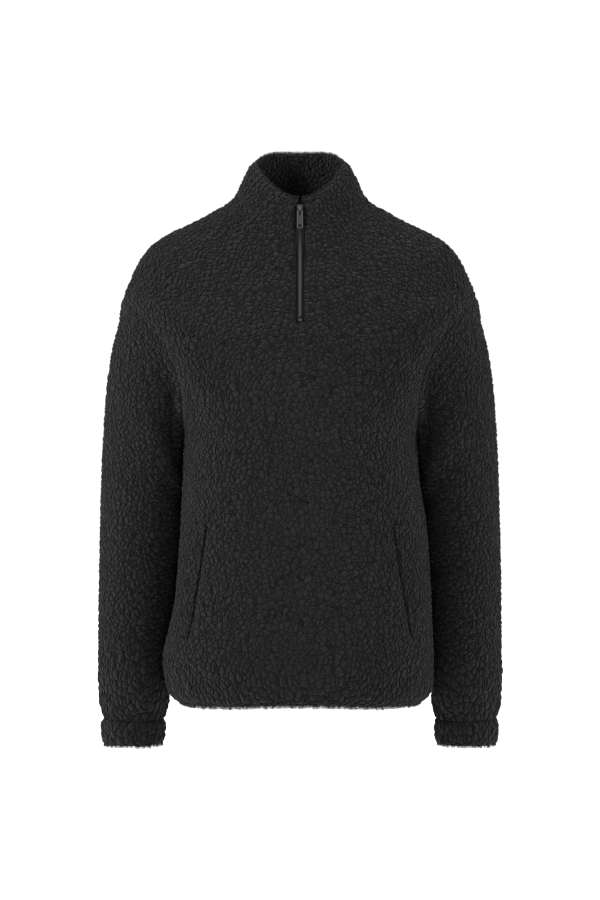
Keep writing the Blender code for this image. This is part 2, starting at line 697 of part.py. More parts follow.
def pocket_bag(panels, side, collection):
    """A flat bag behind the slit, made from the front's points moved in."""
    front = panels["front"]
    middle = HALF_COLUMNS
    rows = [i for i, z in enumerate(LOWER_ROWS) if -600 < z < -385]
    columns = sorted(middle + side * k for k in range(SLIT_COLUMN - 3, SLIT_COLUMN + 3))
    take = np.ix_(rows, columns)
    points, normals = front["points"][take], front["shared"][take]
    inner_face = points + normals * (front["relief"][take] - CLOTH)[..., None]
    outer = inner_face - normals * BAG["behind"]
    inner = outer - normals * BAG["thick"]
    faces = sheet_faces(len(rows), len(columns), mirrored=side == RIGHT)
    name = "pocket_bag_right" if side == RIGHT else "pocket_bag_left"
    return place(name, np.concatenate([outer.reshape(-1, 3), inner.reshape(-1, 3)]), faces, "bag", collection)


def zip_line(panels):
    """The slot's middle line from the collar's top down: y, z and the way out of the cloth, by length."""
    front, collar = panels["front"], panels["collar"]
    beside = front["points"][:, HALF_COLUMNS + SLOT_COLUMN, 1:]
    slot = [point for point in beside[-2::-1] if point[1] > ZIP_END_Z - 12]
    line = np.array(list(collar["points"][::-1, 0, 1:]) + slot)
    length = np.concatenate([[0], np.cumsum(np.linalg.norm(np.diff(line, axis=0), axis=1))])
    return length, line


def zip_frame(line, at):
    """A point of the zip's middle line with the directions across, down and out of the cloth."""
    length, points = line
    here, ahead, behind = ([np.interp(at + d, length, points[:, k]) for k in (0, 1)] for d in (0, 6, -6))
    down = unit(np.array([0, ahead[0] - behind[0], ahead[1] - behind[1]]))
    return np.array([0, *here]), down, np.array([0, down[2], -down[1]])


def strip(name, line, x0, x1, depth, thick, start, end, finish, collection):
    """A flat strip along the zip between two lengths."""
    steps = max(2, round((end - start) / ZIP["step"]) + 1)
    points = []
    for at in np.linspace(start, end, steps):
        point, _, out = zip_frame(line, at)
        for x, deep in ((x0, depth), (x1, depth), (x1, depth + thick), (x0, depth + thick)):
            points.append(point + np.array([x, 0, 0]) - out * deep)
    faces = [[0, 1, 2, 3], [len(points) - k for k in (1, 2, 3, 4)]]
    for i in range(steps - 1):
        for j in range(4):
            k = (j + 1) % 4
            faces.append([i * 4 + j, (i + 1) * 4 + j, (i + 1) * 4 + k, i * 4 + k])
    return place(name, points, faces, finish, collection)


def zip_frame_matrix(line, at, rise):
    """Where a hard piece of the zip sits: local X across, local Y out of the cloth, local Z up the zip."""
    point, down, out = zip_frame(line, at)
    matrix = Matrix.Identity(4)
    for column_index, axis in enumerate(((-1, 0, 0), out, -down)):
        for row_index in range(3):
            matrix[row_index][column_index] = axis[row_index]
    where = (point + out * rise) * MM
    matrix.translation = where.tolist()
    return matrix


def box(name, wide, deep, tall, at, finish, collection):
    """A box centred on a local point."""
    bpy.ops.mesh.primitive_cube_add(size=1)
    obj = bpy.context.object
    obj.name = obj.data.name = name
    obj.data.transform(Matrix.Diagonal((wide * MM, deep * MM, tall * MM, 1)))
    obj.data.transform(Matrix.Translation([v * MM for v in at]))
    obj.data.materials.append(material(finish))
    for used in obj.users_collection:
        used.objects.unlink(obj)
    collection.objects.link(obj)
    return obj


def cut(obj, cutter, operation="DIFFERENCE"):
    """A Boolean with an object that isn't rendered."""
    modifier = obj.modifiers.new(cutter.name, "BOOLEAN")
    modifier.operation = operation
    modifier.solver = "EXACT"
    modifier.object = cutter
    cutter.hide_render = True
    cutter.display_type = "WIRE"
    return modifier


def build_slider(line, collection, tools):
    """A plate that rides on the chain, with a bridge on two posts that holds the pull tab."""
    under = -ZIP["chain_depth"] + SLIDER["under"]
    top = under + SLIDER["plate"]
    room = SLIDER["bridge_rise"] - SLIDER["bridge_thick"]
    middle = (0, under + SLIDER["plate"] / 2, 0)
    slider = box("slider", SLIDER["wide"], SLIDER["plate"], SLIDER["long"], middle, "metal", collection)
    bar = box("bridge_bar", SLIDER["bridge_wide"] + 0.4, SLIDER["bridge_thick"], SLIDER["bridge_long"],
              (0, top + room + SLIDER["bridge_thick"] / 2, 0), "metal", tools)
    pieces = [slider, bar]
    for name, sign in (("bridge_foot", -1), ("bridge_head", 1)):
        place_z = sign * (SLIDER["bridge_long"] - SLIDER["post"]) / 2
        middle = (0, top + room / 2, place_z)
        post = box(name, SLIDER["bridge_wide"], room + 0.8, SLIDER["post"] - 0.2, middle, "metal", tools)
        pieces.append(post)
    frame = zip_frame_matrix(line, SLIDER["start"] + SLIDER["long"] / 2, 0)
    for piece in pieces:
        piece.matrix_world = frame
    for piece in pieces[1:]:
        cut(slider, piece, "UNION")
    return frame, top + room / 2


def build_tab(frame, out, collection):
    """The pull tab, a plate with a window and an eye. Its origin is the middle of the bar in the bridge."""
    bar = TAB["bar"] / 2
    low = bar - TAB["long"]
    side, half, thick = TAB["wide"] / 2, TAB["window_wide"] / 2, TAB["thick"] / 2
    eye = low + TAB["eye_up"]
    heights = [low, eye, eye + TAB["eye_long"], -bar - TAB["window_long"], -bar, bar]
    places = [-side, -half, half, side]
    points = [(x, y, z) for y in (-thick, thick) for z in heights for x in places]
    faces = sheet_faces(len(heights), len(places), holes=[(1, 1), (3, 1)])
    tab = place("pull_tab", points, faces, "metal", collection)
    down = -SLIDER["bridge_long"] / 2 + SLIDER["post"] + TAB["bar"] / 2 + 0.3
    tab.matrix_world = frame @ Matrix.Translation((0, out * MM, down * MM))
    return tab


def build_zip(panels, collection, tools):
    line = zip_line(panels)
    end = float(np.interp(-ZIP_END_Z, -line[1][:, 1], line[0])) - 1.6
    start = ZIP["start"]
    for name, sign in (("tape_left", LEFT), ("tape_right", RIGHT)):
        x0, x1 = sorted((sign * ZIP["tape_inner"], sign * ZIP["tape_outer"]))
        strip(name, line, x0, x1, ZIP["tape_depth"], ZIP["tape_thick"], start, end, "tape", collection)
    half = ZIP["chain_wide"] / 2
    stop = end - ZIP["stop_long"]
    chain_end = stop - 0.3
    deep, thick = ZIP["chain_depth"], ZIP["chain_thick"]
    strip("zip_chain", line, -half, half, deep, thick, start, chain_end, "chain", collection)
    half = ZIP["stop_wide"] / 2
    proud = 2.0 - ZIP["stop_thick"]
    strip("bottom_stop", line, -half, half, proud, ZIP["stop_thick"], stop, end, "metal", collection)
    frame, out = build_slider(line, collection, tools)
    return build_tab(frame, out, collection)


def build():
    clear_scene()
    collection = bpy.data.collections.new("half_zip_sweatshirt")
    tools = bpy.data.collections.new("cutters")
    for made in (collection, tools):
        bpy.context.scene.collection.children.link(made)
    panels = cloth_panels()
    for name, panel in panels.items():
        points, faces = wall_mesh(panel)
        place(name, points, faces, "sherpa", collection)
    for side in (LEFT, RIGHT):
        cuff(side, collection)
        welt(panels, side, collection)
        pocket_bag(panels, side, collection)
    build_zip(panels, collection, tools)


build()
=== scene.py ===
import math

import bmesh
import bpy
import numpy as np
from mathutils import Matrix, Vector, noise


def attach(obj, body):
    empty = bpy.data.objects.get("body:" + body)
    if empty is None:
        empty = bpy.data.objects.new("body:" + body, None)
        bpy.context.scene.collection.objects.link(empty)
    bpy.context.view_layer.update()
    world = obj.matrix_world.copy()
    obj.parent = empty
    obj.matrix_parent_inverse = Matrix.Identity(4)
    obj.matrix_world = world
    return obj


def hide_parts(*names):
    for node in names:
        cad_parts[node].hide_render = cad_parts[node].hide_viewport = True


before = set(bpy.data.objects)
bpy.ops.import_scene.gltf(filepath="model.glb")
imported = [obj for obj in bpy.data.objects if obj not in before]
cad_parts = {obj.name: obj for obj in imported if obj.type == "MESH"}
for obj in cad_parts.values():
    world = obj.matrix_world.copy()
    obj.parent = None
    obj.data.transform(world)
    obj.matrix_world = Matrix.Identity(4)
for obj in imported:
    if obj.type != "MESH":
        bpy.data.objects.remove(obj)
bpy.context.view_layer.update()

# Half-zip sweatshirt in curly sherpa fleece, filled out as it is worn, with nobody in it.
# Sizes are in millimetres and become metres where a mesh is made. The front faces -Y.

mm = 0.001
front, back = -1, 1
left, right = -1, 1
random = np.random.default_rng(11)
noise.seed_set(11)  # unset, the noise follows the clock, and every run bends the nubs another way


def table(names, rows):
    # the columns of a table, by name
    return dict(zip(names.split(), np.array(rows, float).T))


def sideName(start, side):
    return start + ("_right" if side == right else "_left")


# The cut, after the part's own. Depths and half widths run from the middle plane.
cut = {
    "cloth": 4.5, "hemZ": -647.0, "hemArch": 6.5, "underarmZ": -300.0,
    "zipEndZ": -156.0, "zipSlot": 10.6,
    "pocketTop": (120.0, -416.0), "pocketFoot": (142.0, -553.0), "pocketGap": 2.6,
    "collarBackFlat": 6,
}
bodyRings = table(
    "z left right front back sideY",
    [
        (-647, 157.0, 157.0, 121, 113, -6),
        (-645, 161.5, 161.0, 123.5, 115.5, -7),
        (-641, 166.5, 166.5, 127, 118.5, -8),
        (-636, 170.5, 170.0, 129.5, 121, -9),
        (-629, 173.0, 172.0, 131.5, 122.5, -10.5),
        (-617, 175.5, 173.3, 133.5, 124.3, -12),
        (-600, 177.5, 173.5, 135, 125, -14),
        (-579, 176.5, 173.0, 135, 125, -15),
        (-555, 170.5, 171.5, 134, 124, -16),
        (-516, 162.0, 170.0, 132, 121, -17),
        (-465, 157.5, 167.0, 130, 117, -17),
        (-411, 154.0, 162.5, 129, 115, -15),
        (-360, 151.8, 154.5, 129, 116, -10),
        (-300, 150.5, 151.5, 128, 118, 6),
    ],
)
# From the underarm (level 1) over the shoulder point (2) to the neck (3).
upperBody = table(
    "level frontZ front frontTurn frontLift backZ back backTurn backLift",
    [
        (1.00, -300, 128, 90, 0, -300, 118, 90, 0),
        (1.25, -269, 127, 85, 0, -262, 119, 84, 0),
        (1.50, -237, 125.5, 74, 5, -224, 118.5, 73, 2),
        (1.75, -207, 122, 72, 15, -184, 115, 72, 8),
        (1.90, -186, 119, 78, 20, -160, 111.5, 78, 12),
        (2.00, -172, 116.5, 84, 21, -144, 108.5, 84, 13),
        (2 + 1 / 6, -156, 112, 90, 14, -121, 103.5, 90, 8),
        (2.30, -143, 108.5, 90, 9, -104, 98, 90, 4),
        (2.65, -110, 99, 90, 0, -57, 84, 90, 0),
        (3.00, -73, 86, 90, 0, -8, 68, 90, 0),
    ],
)
shoulderSeam = table(
    "level x y z",
    [
        (2.00, 231.5, 6, -128),
        (2.07, 225.5, 6, -116.5),
        (2.16, 218.0, 5, -99),
        (2.28, 207.5, 4, -77),
        (2.42, 192.0, 3, -57),
        (2.60, 168.0, 2, -41),
        (2.80, 136.0, 1, -25.5),
        (3.00, 100.0, 0, -6),
    ],
)
sleeveRings = table(
    "t outerX outerZ leftInner rightInner innerZ y frontDepth backDepth bow",
    [
        (0.00, 231.5, -128, 150.5, 151.5, -300, 6, 72, 76, 28),
        (0.06, 236.0, -158, 151.8, 152.8, -318, 9, 71, 74, 24),
        (0.12, 243.0, -184, 152.5, 153.4, -334, 13, 70, 72, 20),
        (0.20, 250.0, -222, 153.0, 155.0, -356, 18, 69, 70, 14),
        (0.30, 255.0, -268, 153.2, 158.4, -384, 24, 67, 68, 8),
        (0.42, 259.5, -335, 153.4, 162.0, -425, 29, 64, 65, 3),
        (0.55, 262.8, -425, 156.5, 165.8, -482, 32, 60, 61, 0),
        (0.68, 264.8, -510, 164.5, 168.5, -540, 32, 56, 57, 0),
        (0.80, 265.6, -580, 174.5, 171.5, -592, 30, 51, 52, 0),
        (0.90, 265.4, -635, 173.0, 173.5, -638, 28, 45, 46, 0),
        (0.96, 263.2, -661, 174.5, 175.0, -662, 27, 40.5, 41, 0),
        (1.00, 259.0, -676, 177.5, 177.5, -676, 26, 37, 38, 0),
    ],
)
collarRings = table(
    "v side sideZ front frontZ back backZ wall",
    [
        (0.00, 100.0, -6, 86, -73, 68, -8, 4.5),
        (0.14, 90.5, 0, 82.5, -61, 67.5, 4, 5.5),
        (0.28, 83.5, 8, 80, -51, 67, 15, 6.5),
        (0.55, 75.5, 25, 74, -30, 64, 36, 7.5),
        (0.80, 67.5, 41, 69.5, -11, 60.5, 55, 8.5),
        (1.00, 62.0, 50, 66.5, 2, 58, 66, 9.0),
    ],
)


def smooth(at, xs, ys):
    # a smooth curve through a table's points, read at these places
    slopes = np.gradient(ys, xs)
    at = np.clip(at, xs[0], xs[-1])
    i = np.clip(np.searchsorted(xs, at, side="right") - 1, 0, len(xs) - 2)
    wide = xs[i + 1] - xs[i]
    t = (at - xs[i]) / wide
    ends = (2 * t**3 - 3 * t**2 + 1) * ys[i] + (3 * t**2 - 2 * t**3) * ys[i + 1]
    return ends + wide * ((t**3 - 2 * t**2 + t) * slopes[i] + (t**3 - t**2) * slopes[i + 1])


def column(rows, key, name, at):
    return smooth(at, rows[key], rows[name])


def unit(vectors):
    return vectors / np.maximum(np.linalg.norm(vectors, axis=-1, keepdims=True), 1e-9)


def fade(distance, full, none):
    # 1 up to the first distance, 0 past the second, soft between
    t = np.clip((none - distance) / (none - full), 0, 1)
    return t * t * (3 - 2 * t)


def bell(distance, reach):
    # 1 at no distance, soft down to nearly 0 at twice the reach
    return np.exp(-((distance / reach) ** 2))


def lengthsAlong(points):
    # how far each point lies along the line through them all
    return np.concatenate([[0], np.cumsum(np.linalg.norm(np.diff(points, axis=0), axis=1))])


# The cloth's outer surface.
def sleeveRing(side, t, angles):
    # angle 0 is outside, 90 behind, 180 inside and 270 in front
    row = {name: column(sleeveRings, "t", name, t) for name in sleeveRings}
    innerX = row["leftInner"] if side == left else row["rightInner"]
    middle = np.array([(row["outerX"] + innerX) / 2, row["y"], (row["outerZ"] + row["innerZ"]) / 2])
    reach = np.array([(row["outerX"] - innerX) / 2, 0, (row["outerZ"] - row["innerZ"]) / 2])
    away = unit(np.array([reach[2], 0, -reach[0]]))
    c, s = np.cos(angles)[:, None], np.sin(angles)[:, None]
    depth = np.where(s < 0, row["frontDepth"], row["backDepth"])
    points = middle + c * reach + s * depth * np.array([0, 1, 0]) - row["bow"] * s**2 * away
    return points * np.array([side, 1, 1])


def sideEdge(face, side, level):
    # a body row ends on the side seam, the armhole or the shoulder seam
    if level <= 1:
        z = cut["hemZ"] + level * (cut["underarmZ"] - cut["hemZ"])
        half = column(bodyRings, "z", "left" if side == left else "right", z)
        return np.array([side * half, column(bodyRings, "z", "sideY", z), z])
    if level < 2:
        return sleeveRing(side, 0.0, np.array([math.pi * (level if face == front else 2 - level)]))[0]
    seam = {name: column(shoulderSeam, "level", name, level) for name in ("x", "y", "z")}
    return np.array([side * seam["x"], seam["y"], seam["z"]])


def bodyRow(face, side, level, steps=400):
    edge = sideEdge(face, side, level)
    name = "front" if face == front else "back"
    if level <= 1:
        centre = np.array([0, face * column(bodyRings, "z", name, edge[2]), edge[2]])
        turn, lift = math.pi / 2, 0
    else:
        depth, z, degrees, lift = (
            column(upperBody, "level", name + part, level) for part in ("", "Z", "Turn", "Lift"))
        centre = np.array([0, face * depth, z])
        turn = math.radians(min(degrees, 90))
    power = 2 / smooth(level, np.array([0, 1, 2, 3.0]), np.array([2.35, 2.45, 1.75, 2.0]))
    s = np.linspace(0, 1, steps)
    across = np.sin(s * turn) ** power / math.sin(turn) ** power
    inward = (1 - np.cos(s * turn) ** power) / (1 - math.cos(turn) ** power)
    up = np.sin(s * math.pi / 2) ** 2
    arch = lift * 6.75 * s**2 * (1 - s)
    return centre + (edge - centre) * np.stack([across, inward, up], axis=1) + arch[:, None] * [0, 0, 1]


# The fine grid: columns each side of the middle, those that follow the slot and the slit, and
# how many rows lie between the heights that matter. Each count is a whole number of inner cells.
weave = {
    "halfColumns": 120, "slotColumn": 4, "slitColumn": 64, "slitWide": 4, "innerEvery": 4,
    "sleeveColumns": 216, "sleeveRows": 280, "collarColumns": 260, "collarRows": 44,
    "cuffColumns": 144, "cuffRows": 52,
    "evenTimes": 60, "evenShare": 0.5, "evenRows": (6, 30),  # the rows are evened out by the shoulder point
}


def levelOf(z):
    return (z - cut["hemZ"]) / (cut["underarmZ"] - cut["hemZ"])


bodySpans = [  # level and the rows up to it
    (levelOf(cut["pocketFoot"][1]), 44), (levelOf(cut["pocketTop"][1]), 68), (1, 60), (2, 80),
    (2 + 1 / 6, 16), (3, 60),
]


def bodyLevels():
    levels = [0.0]
    for level, rows in bodySpans:
        levels += list(np.linspace(levels[-1], level, rows + 1)[1:])
    return np.array(levels)


def slitShareUp(z):
    return (z - cut["pocketFoot"][1]) / (cut["pocketTop"][1] - cut["pocketFoot"][1])


def slitHalfGap(z):
    # the pocket's slit closes towards its ends
    share = np.clip(slitShareUp(z), 0, 1)
    return cut["pocketGap"] / 2 * (0.3 + 0.7 * np.sin(math.pi * share) ** 0.7)


def slitX(z):
    return cut["pocketFoot"][0] + slitShareUp(z) * (cut["pocketTop"][0] - cut["pocketFoot"][0])


def rowPlaces(row, isFront, z):
    # how far along a row each column lies, and the slit's place on it
    length = lengthsAlong(row)
    even = np.linspace(0, length[-1], weave["halfColumns"] + 1)
    if not isFront:
        return length, even, 0.0
    low, slot, wide = weave["slitColumn"], weave["slotColumn"], weave["slitWide"]
    zipShare = fade(cut["zipEndZ"] - z, 8, 70)
    slitShare = fade(max(z - cut["pocketTop"][1], cut["pocketFoot"][1] - z), 4, 90)
    atSlit = np.interp(min(max(slitX(z), 60), abs(row[-1, 0]) - 12), np.abs(row[:, 0]), length)
    half = slitHalfGap(z)
    guides = {
        0: 0.0,
        slot: even[slot] + zipShare * (cut["zipSlot"] / 2 - even[slot]),
        low: even[low] + slitShare * (atSlit - half - even[low]),
        low + wide: even[low + wide] + slitShare * (atSlit + half - even[low + wide]),
        weave["halfColumns"]: length[-1],
    }
    marks = sorted(guides)
    return length, np.interp(np.arange(len(even)), marks, [guides[k] for k in marks]), atSlit


def bodyGrid(face):
    # the panel's points, hem to neck and left to right, with each point's way along its row from the slit
    rows, beside = [], []
    for level in bodyLevels():
        halves, sides = [], []
        for side in (left, right):
            row = bodyRow(face, side, level)
            length, places, atSlit = rowPlaces(row, face == front, row[0, 2])
            halves.append(np.stack([np.interp(places, length, row[:, k]) for k in range(3)], axis=1))
            sides.append(places - atSlit)
        rows.append(np.concatenate([halves[0][::-1], halves[1][1:]]))
        beside.append(np.concatenate([sides[0][::-1], sides[1][1:]]))
    grid = np.array(rows)
    rows = np.arange(len(grid))
    shoulderRow = sum(count for _, count in bodySpans[:4])
    share = weave["evenShare"] * fade(np.abs(rows - shoulderRow), *weave["evenRows"])[1:-1, None, None]
    for _ in range(weave["evenTimes"]):
        between = (grid[:-2, 1:-1] + grid[2:, 1:-1]) / 2
        grid[1:-1, 1:-1] += share * (between - grid[1:-1, 1:-1])
    if face == front:
        low = fade(grid[:, weave["halfColumns"], 2] - cut["hemZ"], 10, 80)[:, None]
        grid[..., 2] += cut["hemArch"] * low * np.cos(np.clip(grid[..., 0] / 165, -1, 1) * math.pi / 2) ** 2
    return grid, np.array(beside)


def sleeveGrid(side):
    angles = np.arange(weave["sleeveColumns"]) * 2 * math.pi / weave["sleeveColumns"]
    return np.array([sleeveRing(side, t, angles) for t in np.linspace(0, 1, weave["sleeveRows"] + 1)])


def collarRing(v):
    # from the zip's left side round the back to its right side
    row = {name: column(collarRings, "v", name, v) for name in collarRings}
    # the pile closes over the zip above the slider, and parts a little at the very top
    slotWide = np.interp(v, [0.80, 0.88, 0.94, 1.0], [cut["zipSlot"], 8.6, 3.0, 4.6])
    slot = math.asin(slotWide / 2 / row["side"])
    turns = np.linspace(slot, 2 * math.pi - slot, weave["collarColumns"] + 1)
    ahead = np.cos(turns) >= 0
    drop = np.where(ahead, 2, 2 + (cut["collarBackFlat"] - 2) * v)
    middleZ = np.where(ahead, row["frontZ"], row["backZ"])
    depth = np.where(ahead, row["front"], row["back"])
    z = middleZ + (row["sideZ"] - middleZ) * np.abs(np.sin(turns)) ** drop
    return np.stack([-row["side"] * np.sin(turns), -depth * np.cos(turns), z], axis=1)


def gridNormals(grid, closed, outward):
    if closed:
        along = np.roll(grid, -1, axis=1) - np.roll(grid, 1, axis=1)
    else:
        along = np.gradient(grid, axis=1)
    return unit(np.cross(along, np.gradient(grid, axis=0))) * outward


# The curly pile: rounded nubs with cracks between them, darkened with painted shade. The mesh and its
# finish read one set of cells, from the place that each point has among them.
pileLook = {
    "nub": 6.5, "bend": 3.5, "bendEvery": 17.0, "height": 1.7, "level": 0.6, "swell": 0.36,
    "wobble": 0.38, "wobbleScale": 1.0, "spread": 1.0, "round": 0.22, "curl": 2.1, "curlShare": 0.24,
    # crackShade is how far across a cell the painted shade in its cracks reaches
    "crackShade": 0.19, "deepest": 1.0, "shallowest": 0.8, "depthScale": 0.42,
    "hemStretch": 0.58, "hemReach": 60.0,
}


def noiseNode(nodes, links, coords, scale, detail=3.0, distortion=0.0, rough=0.55, output="Fac"):
    made = nodes.new("ShaderNodeTexNoise")
    made.inputs["Scale"].default_value = scale
    made.inputs["Detail"].default_value = detail
    made.inputs["Distortion"].default_value = distortion
    made.inputs["Roughness"].default_value = rough
    links.new(coords, made.inputs["Vector"])
    return made.outputs[output]


def rangeNode(nodes, links, value, low, high, toLow=0.0, toHigh=1.0, kind="LINEAR"):
    made = nodes.new("ShaderNodeMapRange")
    made.interpolation_type = kind
    for name, number in (("From Min", low), ("From Max", high), ("To Min", toLow), ("To Max", toHigh)):
        made.inputs[name].default_value = number
    links.new(value, made.inputs["Value"])
    return made.outputs["Result"]


def mathNode(nodes, links, kind, first, second):
    made = nodes.new("ShaderNodeMath")
    made.operation = kind
    for socket, value in zip(made.inputs, (first, second)):
        if isinstance(value, bpy.types.NodeSocket):
            links.new(value, socket)
        else:
            socket.default_value = value
    return made.outputs[0]


def cellsNode(nodes, links, coords, scale, feature):
    made = nodes.new("ShaderNodeTexVoronoi")
    made.feature = feature
    made.inputs["Scale"].default_value = scale
    made.inputs["Randomness"].default_value = pileLook["spread"]
    links.new(coords, made.inputs["Vector"])
    return made.outputs


def nubNodes(nodes, links, coords):
    # how high the pile is, how much painted shade lies in its cracks, a tone for each nub, and the soft form
    # under it all
    look = pileLook
    wavy = nodes.new("ShaderNodeVectorMath")
    wavy.operation = "MULTIPLY_ADD"
    wobble = noiseNode(nodes, links, coords, look["wobbleScale"], 1.0, output="Color")
    links.new(wobble, wavy.inputs[0])
    wavy.inputs[1].default_value = (look["wobble"],) * 3
    links.new(coords, wavy.inputs[2])
    wavy = wavy.outputs[0]
    edge = cellsNode(nodes, links, wavy, 1.0, "DISTANCE_TO_EDGE")["Distance"]
    nub = cellsNode(nodes, links, wavy, 1.0, "F1")
    curl = cellsNode(nodes, links, wavy, look["curl"], "DISTANCE_TO_EDGE")["Distance"]
    depth = rangeNode(nodes, links, noiseNode(nodes, links, coords, look["depthScale"], 1.0), 0.4, 0.58,
                      look["shallowest"], look["deepest"])
    ownDepth = rangeNode(nodes, links, nub["Color"], 0.25, 0.6, 0.7, 1.0)
    depth = mathNode(nodes, links, "MULTIPLY", depth, ownDepth)
    crackShade = rangeNode(nodes, links, edge, 0.0, look["crackShade"], 1.0, 0.0, "SMOOTHSTEP")
    crackShade = mathNode(nodes, links, "MULTIPLY", crackShade, depth)
    dome = rangeNode(nodes, links, edge, 0.0, look["round"], 0.0, 1.0, "SMOOTHSTEP")
    sunk = mathNode(nodes, links, "MULTIPLY", mathNode(nodes, links, "SUBTRACT", 1.0, dome), depth)
    curls = rangeNode(nodes, links, curl, 0.0, 0.3, 0.0, look["curlShare"], "SMOOTHSTEP")
    height = mathNode(nodes, links, "SUBTRACT", 1.0 - look["curlShare"], sunk)
    height = mathNode(nodes, links, "ADD", height, curls)
    swell = rangeNode(nodes, links, edge, 0.0, look["swell"], 0.0, 1.0, "SMOOTHSTEP")
    return height, crackShade, nub["Color"], swell


def readPile(places):
    # the soft form of the nubs at these places among the cells
    flat = bpy.data.meshes.new("probe")
    flat.from_pydata(places.reshape(-1, 3).tolist(), [], [])
    probe = bpy.data.objects.new("probe", flat)
    bpy.context.scene.collection.objects.link(probe)
    tree = bpy.data.node_groups.new("probe", "GeometryNodeTree")
    tree.interface.new_socket("Mesh", in_out="INPUT", socket_type="NodeSocketGeometry")
    tree.interface.new_socket("Mesh", in_out="OUTPUT", socket_type="NodeSocketGeometry")
    came, gone = tree.nodes.new("NodeGroupInput"), tree.nodes.new("NodeGroupOutput")
    store = tree.nodes.new("GeometryNodeStoreNamedAttribute")
    store.inputs["Name"].default_value = "height"
    swell = nubNodes(tree.nodes, tree.links, tree.nodes.new("GeometryNodeInputPosition").outputs[0])[3]
    tree.links.new(swell, store.inputs["Value"])
    tree.links.new(came.outputs[0], store.inputs["Geometry"])
    tree.links.new(store.outputs["Geometry"], gone.inputs[0])
    probe.modifiers.new("probe", "NODES").node_group = tree
    read = probe.evaluated_get(bpy.context.evaluated_depsgraph_get()).data.attributes["height"].data
    values = np.zeros(len(read), np.float32)
    read.foreach_get("value", values)
    bpy.data.objects.remove(probe)
    bpy.data.meshes.remove(flat)
    bpy.data.node_groups.remove(tree)
    return values.reshape(places.shape[:-1]).astype(float)


def pilePlaces(points, shift=0.0):
    # where points lie among the cells, in nubs: long ones by the hem, and bent a little everywhere
    look = pileLook
    flat = points.reshape(-1, 3) + shift
    lowest = cut["hemZ"] + look["hemReach"] + shift
    low = flat[:, 2] < lowest
    flat[low, 2] = lowest - look["hemStretch"] * (lowest - flat[low, 2])
    turns = np.array([noise.noise_vector(Vector(p)) for p in flat / look["bendEvery"]])
    return ((flat + look["bend"] * turns) / look["nub"]).reshape(points.shape)


# Soft folds on the front and back, seen from the front: crest or trough, and half width across.
folds = table(
    "face side x0 z0 x1 z1 width height",
    [
        (front, left, 146, -232, 96, -262, 13, 1.8),
        (front, left, 150, -262, 104, -306, 12, -1.6),
        (front, right, 148, -228, 100, -252, 13, 1.8),
        (front, right, 150, -258, 92, -296, 13, -1.7),
        (front, left, 160, -596, 96, -628, 14, -1.8),
        (front, right, 164, -590, 110, -622, 14, -1.6),
        (front, left, 60, -150, 92, -222, 16, -1.5),
        (front, right, 64, -146, 104, -208, 16, -1.5),
        (back, left, 150, -236, 92, -276, 14, -2.0),
        (back, left, 156, -276, 84, -338, 15, 2.0),
        (back, right, 150, -240, 88, -284, 14, -2.0),
        (back, right, 156, -282, 96, -352, 15, 2.0),
        (back, left, 150, -520, 60, -566, 18, 2.2),
        (back, right, 152, -500, 72, -552, 18, 2.2),
        (back, right, 148, -580, 40, -604, 16, -1.8),
    ],
)
# Creases across a sleeve: along it, round it in degrees, their reach each way, and height.
sleeveCreases = table(
    "t angle reachT reachAngle height",
    [
        (0.17, 250, 0.035, 42, -2.6),
        (0.26, 232, 0.040, 48, 2.0),
        (0.34, 214, 0.035, 46, -2.2),
        (0.49, 150, 0.035, 50, 2.2),
        (0.55, 170, 0.030, 55, -2.6),
        (0.61, 150, 0.035, 50, 2.0),
        (0.15, 100, 0.040, 40, -2.4),
        (0.24, 110, 0.040, 40, 2.0),
        (0.87, 300, 0.030, 60, 1.8),
        (0.93, 200, 0.028, 80, 1.6),
        (0.030, 262, 0.0060, 40, -1.5),
        (0.052, 240, 0.0060, 46, -1.7),
        (0.078, 258, 0.0070, 38, -1.4),
        (0.104, 236, 0.0070, 40, -1.2),
    ],
)


# The sleeve sinks in beside the armhole, in front and less behind. It is fuller inside, where it hangs
# against the body, and gathered above the cuff.
valleys = table("angle reachAngle depth", [(238, 38, 14.0), (122, 34, 4.0)])
sleeveLook = {
    "valleyAt": 0.085, "valleyReach": 0.085,
    "fuller": 2.8, "fullerAt": 0.45, "fullerReach": 0.13, "fullerAngle": 46,
    "gathers": 6, "gatherHeight": 0.9, "gatherAt": 0.95, "gatherReach": 0.03,
}


def nearLine(points, x0, z0, x1, z1, width):
    start, run = np.array([x0, z0]), np.array([x1 - x0, z1 - z0])
    flat = points[..., [0, 2]] - start
    length = np.linalg.norm(run)
    t = flat @ run / length**2
    beside = np.abs(flat @ np.array([-run[1], run[0]])) / length
    ends = np.clip(np.minimum(t + 0.25, 1.25 - t) / 0.5, 0, 1)
    return bell(beside, width) * ends**2 * (3 - 2 * ends)


def bodyRelief(face, grid, beside):
    out = np.zeros(grid.shape[:2])
    for k in range(len(folds["face"])):
        if folds["face"][k] == face:
            ends = [folds[name][k] for name in ("x0", "z0", "x1", "z1", "width")]
            mine = np.sign(grid[..., 0]) == folds["side"][k]
            out += mine * folds["height"][k] * nearLine(np.abs(grid) * [1, 1, -1], *ends)
    toSide = np.minimum(np.arange(grid.shape[1]), np.arange(grid.shape[1])[::-1])
    toNeck = np.arange(len(grid))[::-1, None]
    out *= np.clip(toSide / 24, 0, 1) * np.clip(toNeck / 30, 0, 1)
    if face == front:
        z = grid[:, weave["halfColumns"], 2][:, None]
        share = fade(np.maximum(z - cut["pocketTop"][1], cut["pocketFoot"][1] - z), -30, 14)
        half = slitHalfGap(z)
        inside = np.interp(beside + half, [-34, -11, 0], [0, 0.3, -2.0])
        outside = np.interp(beside - half, [0, 15, 42], [-5.2, -2.4, 0])
        out += share * np.where(beside < 0, inside, outside)
    return out


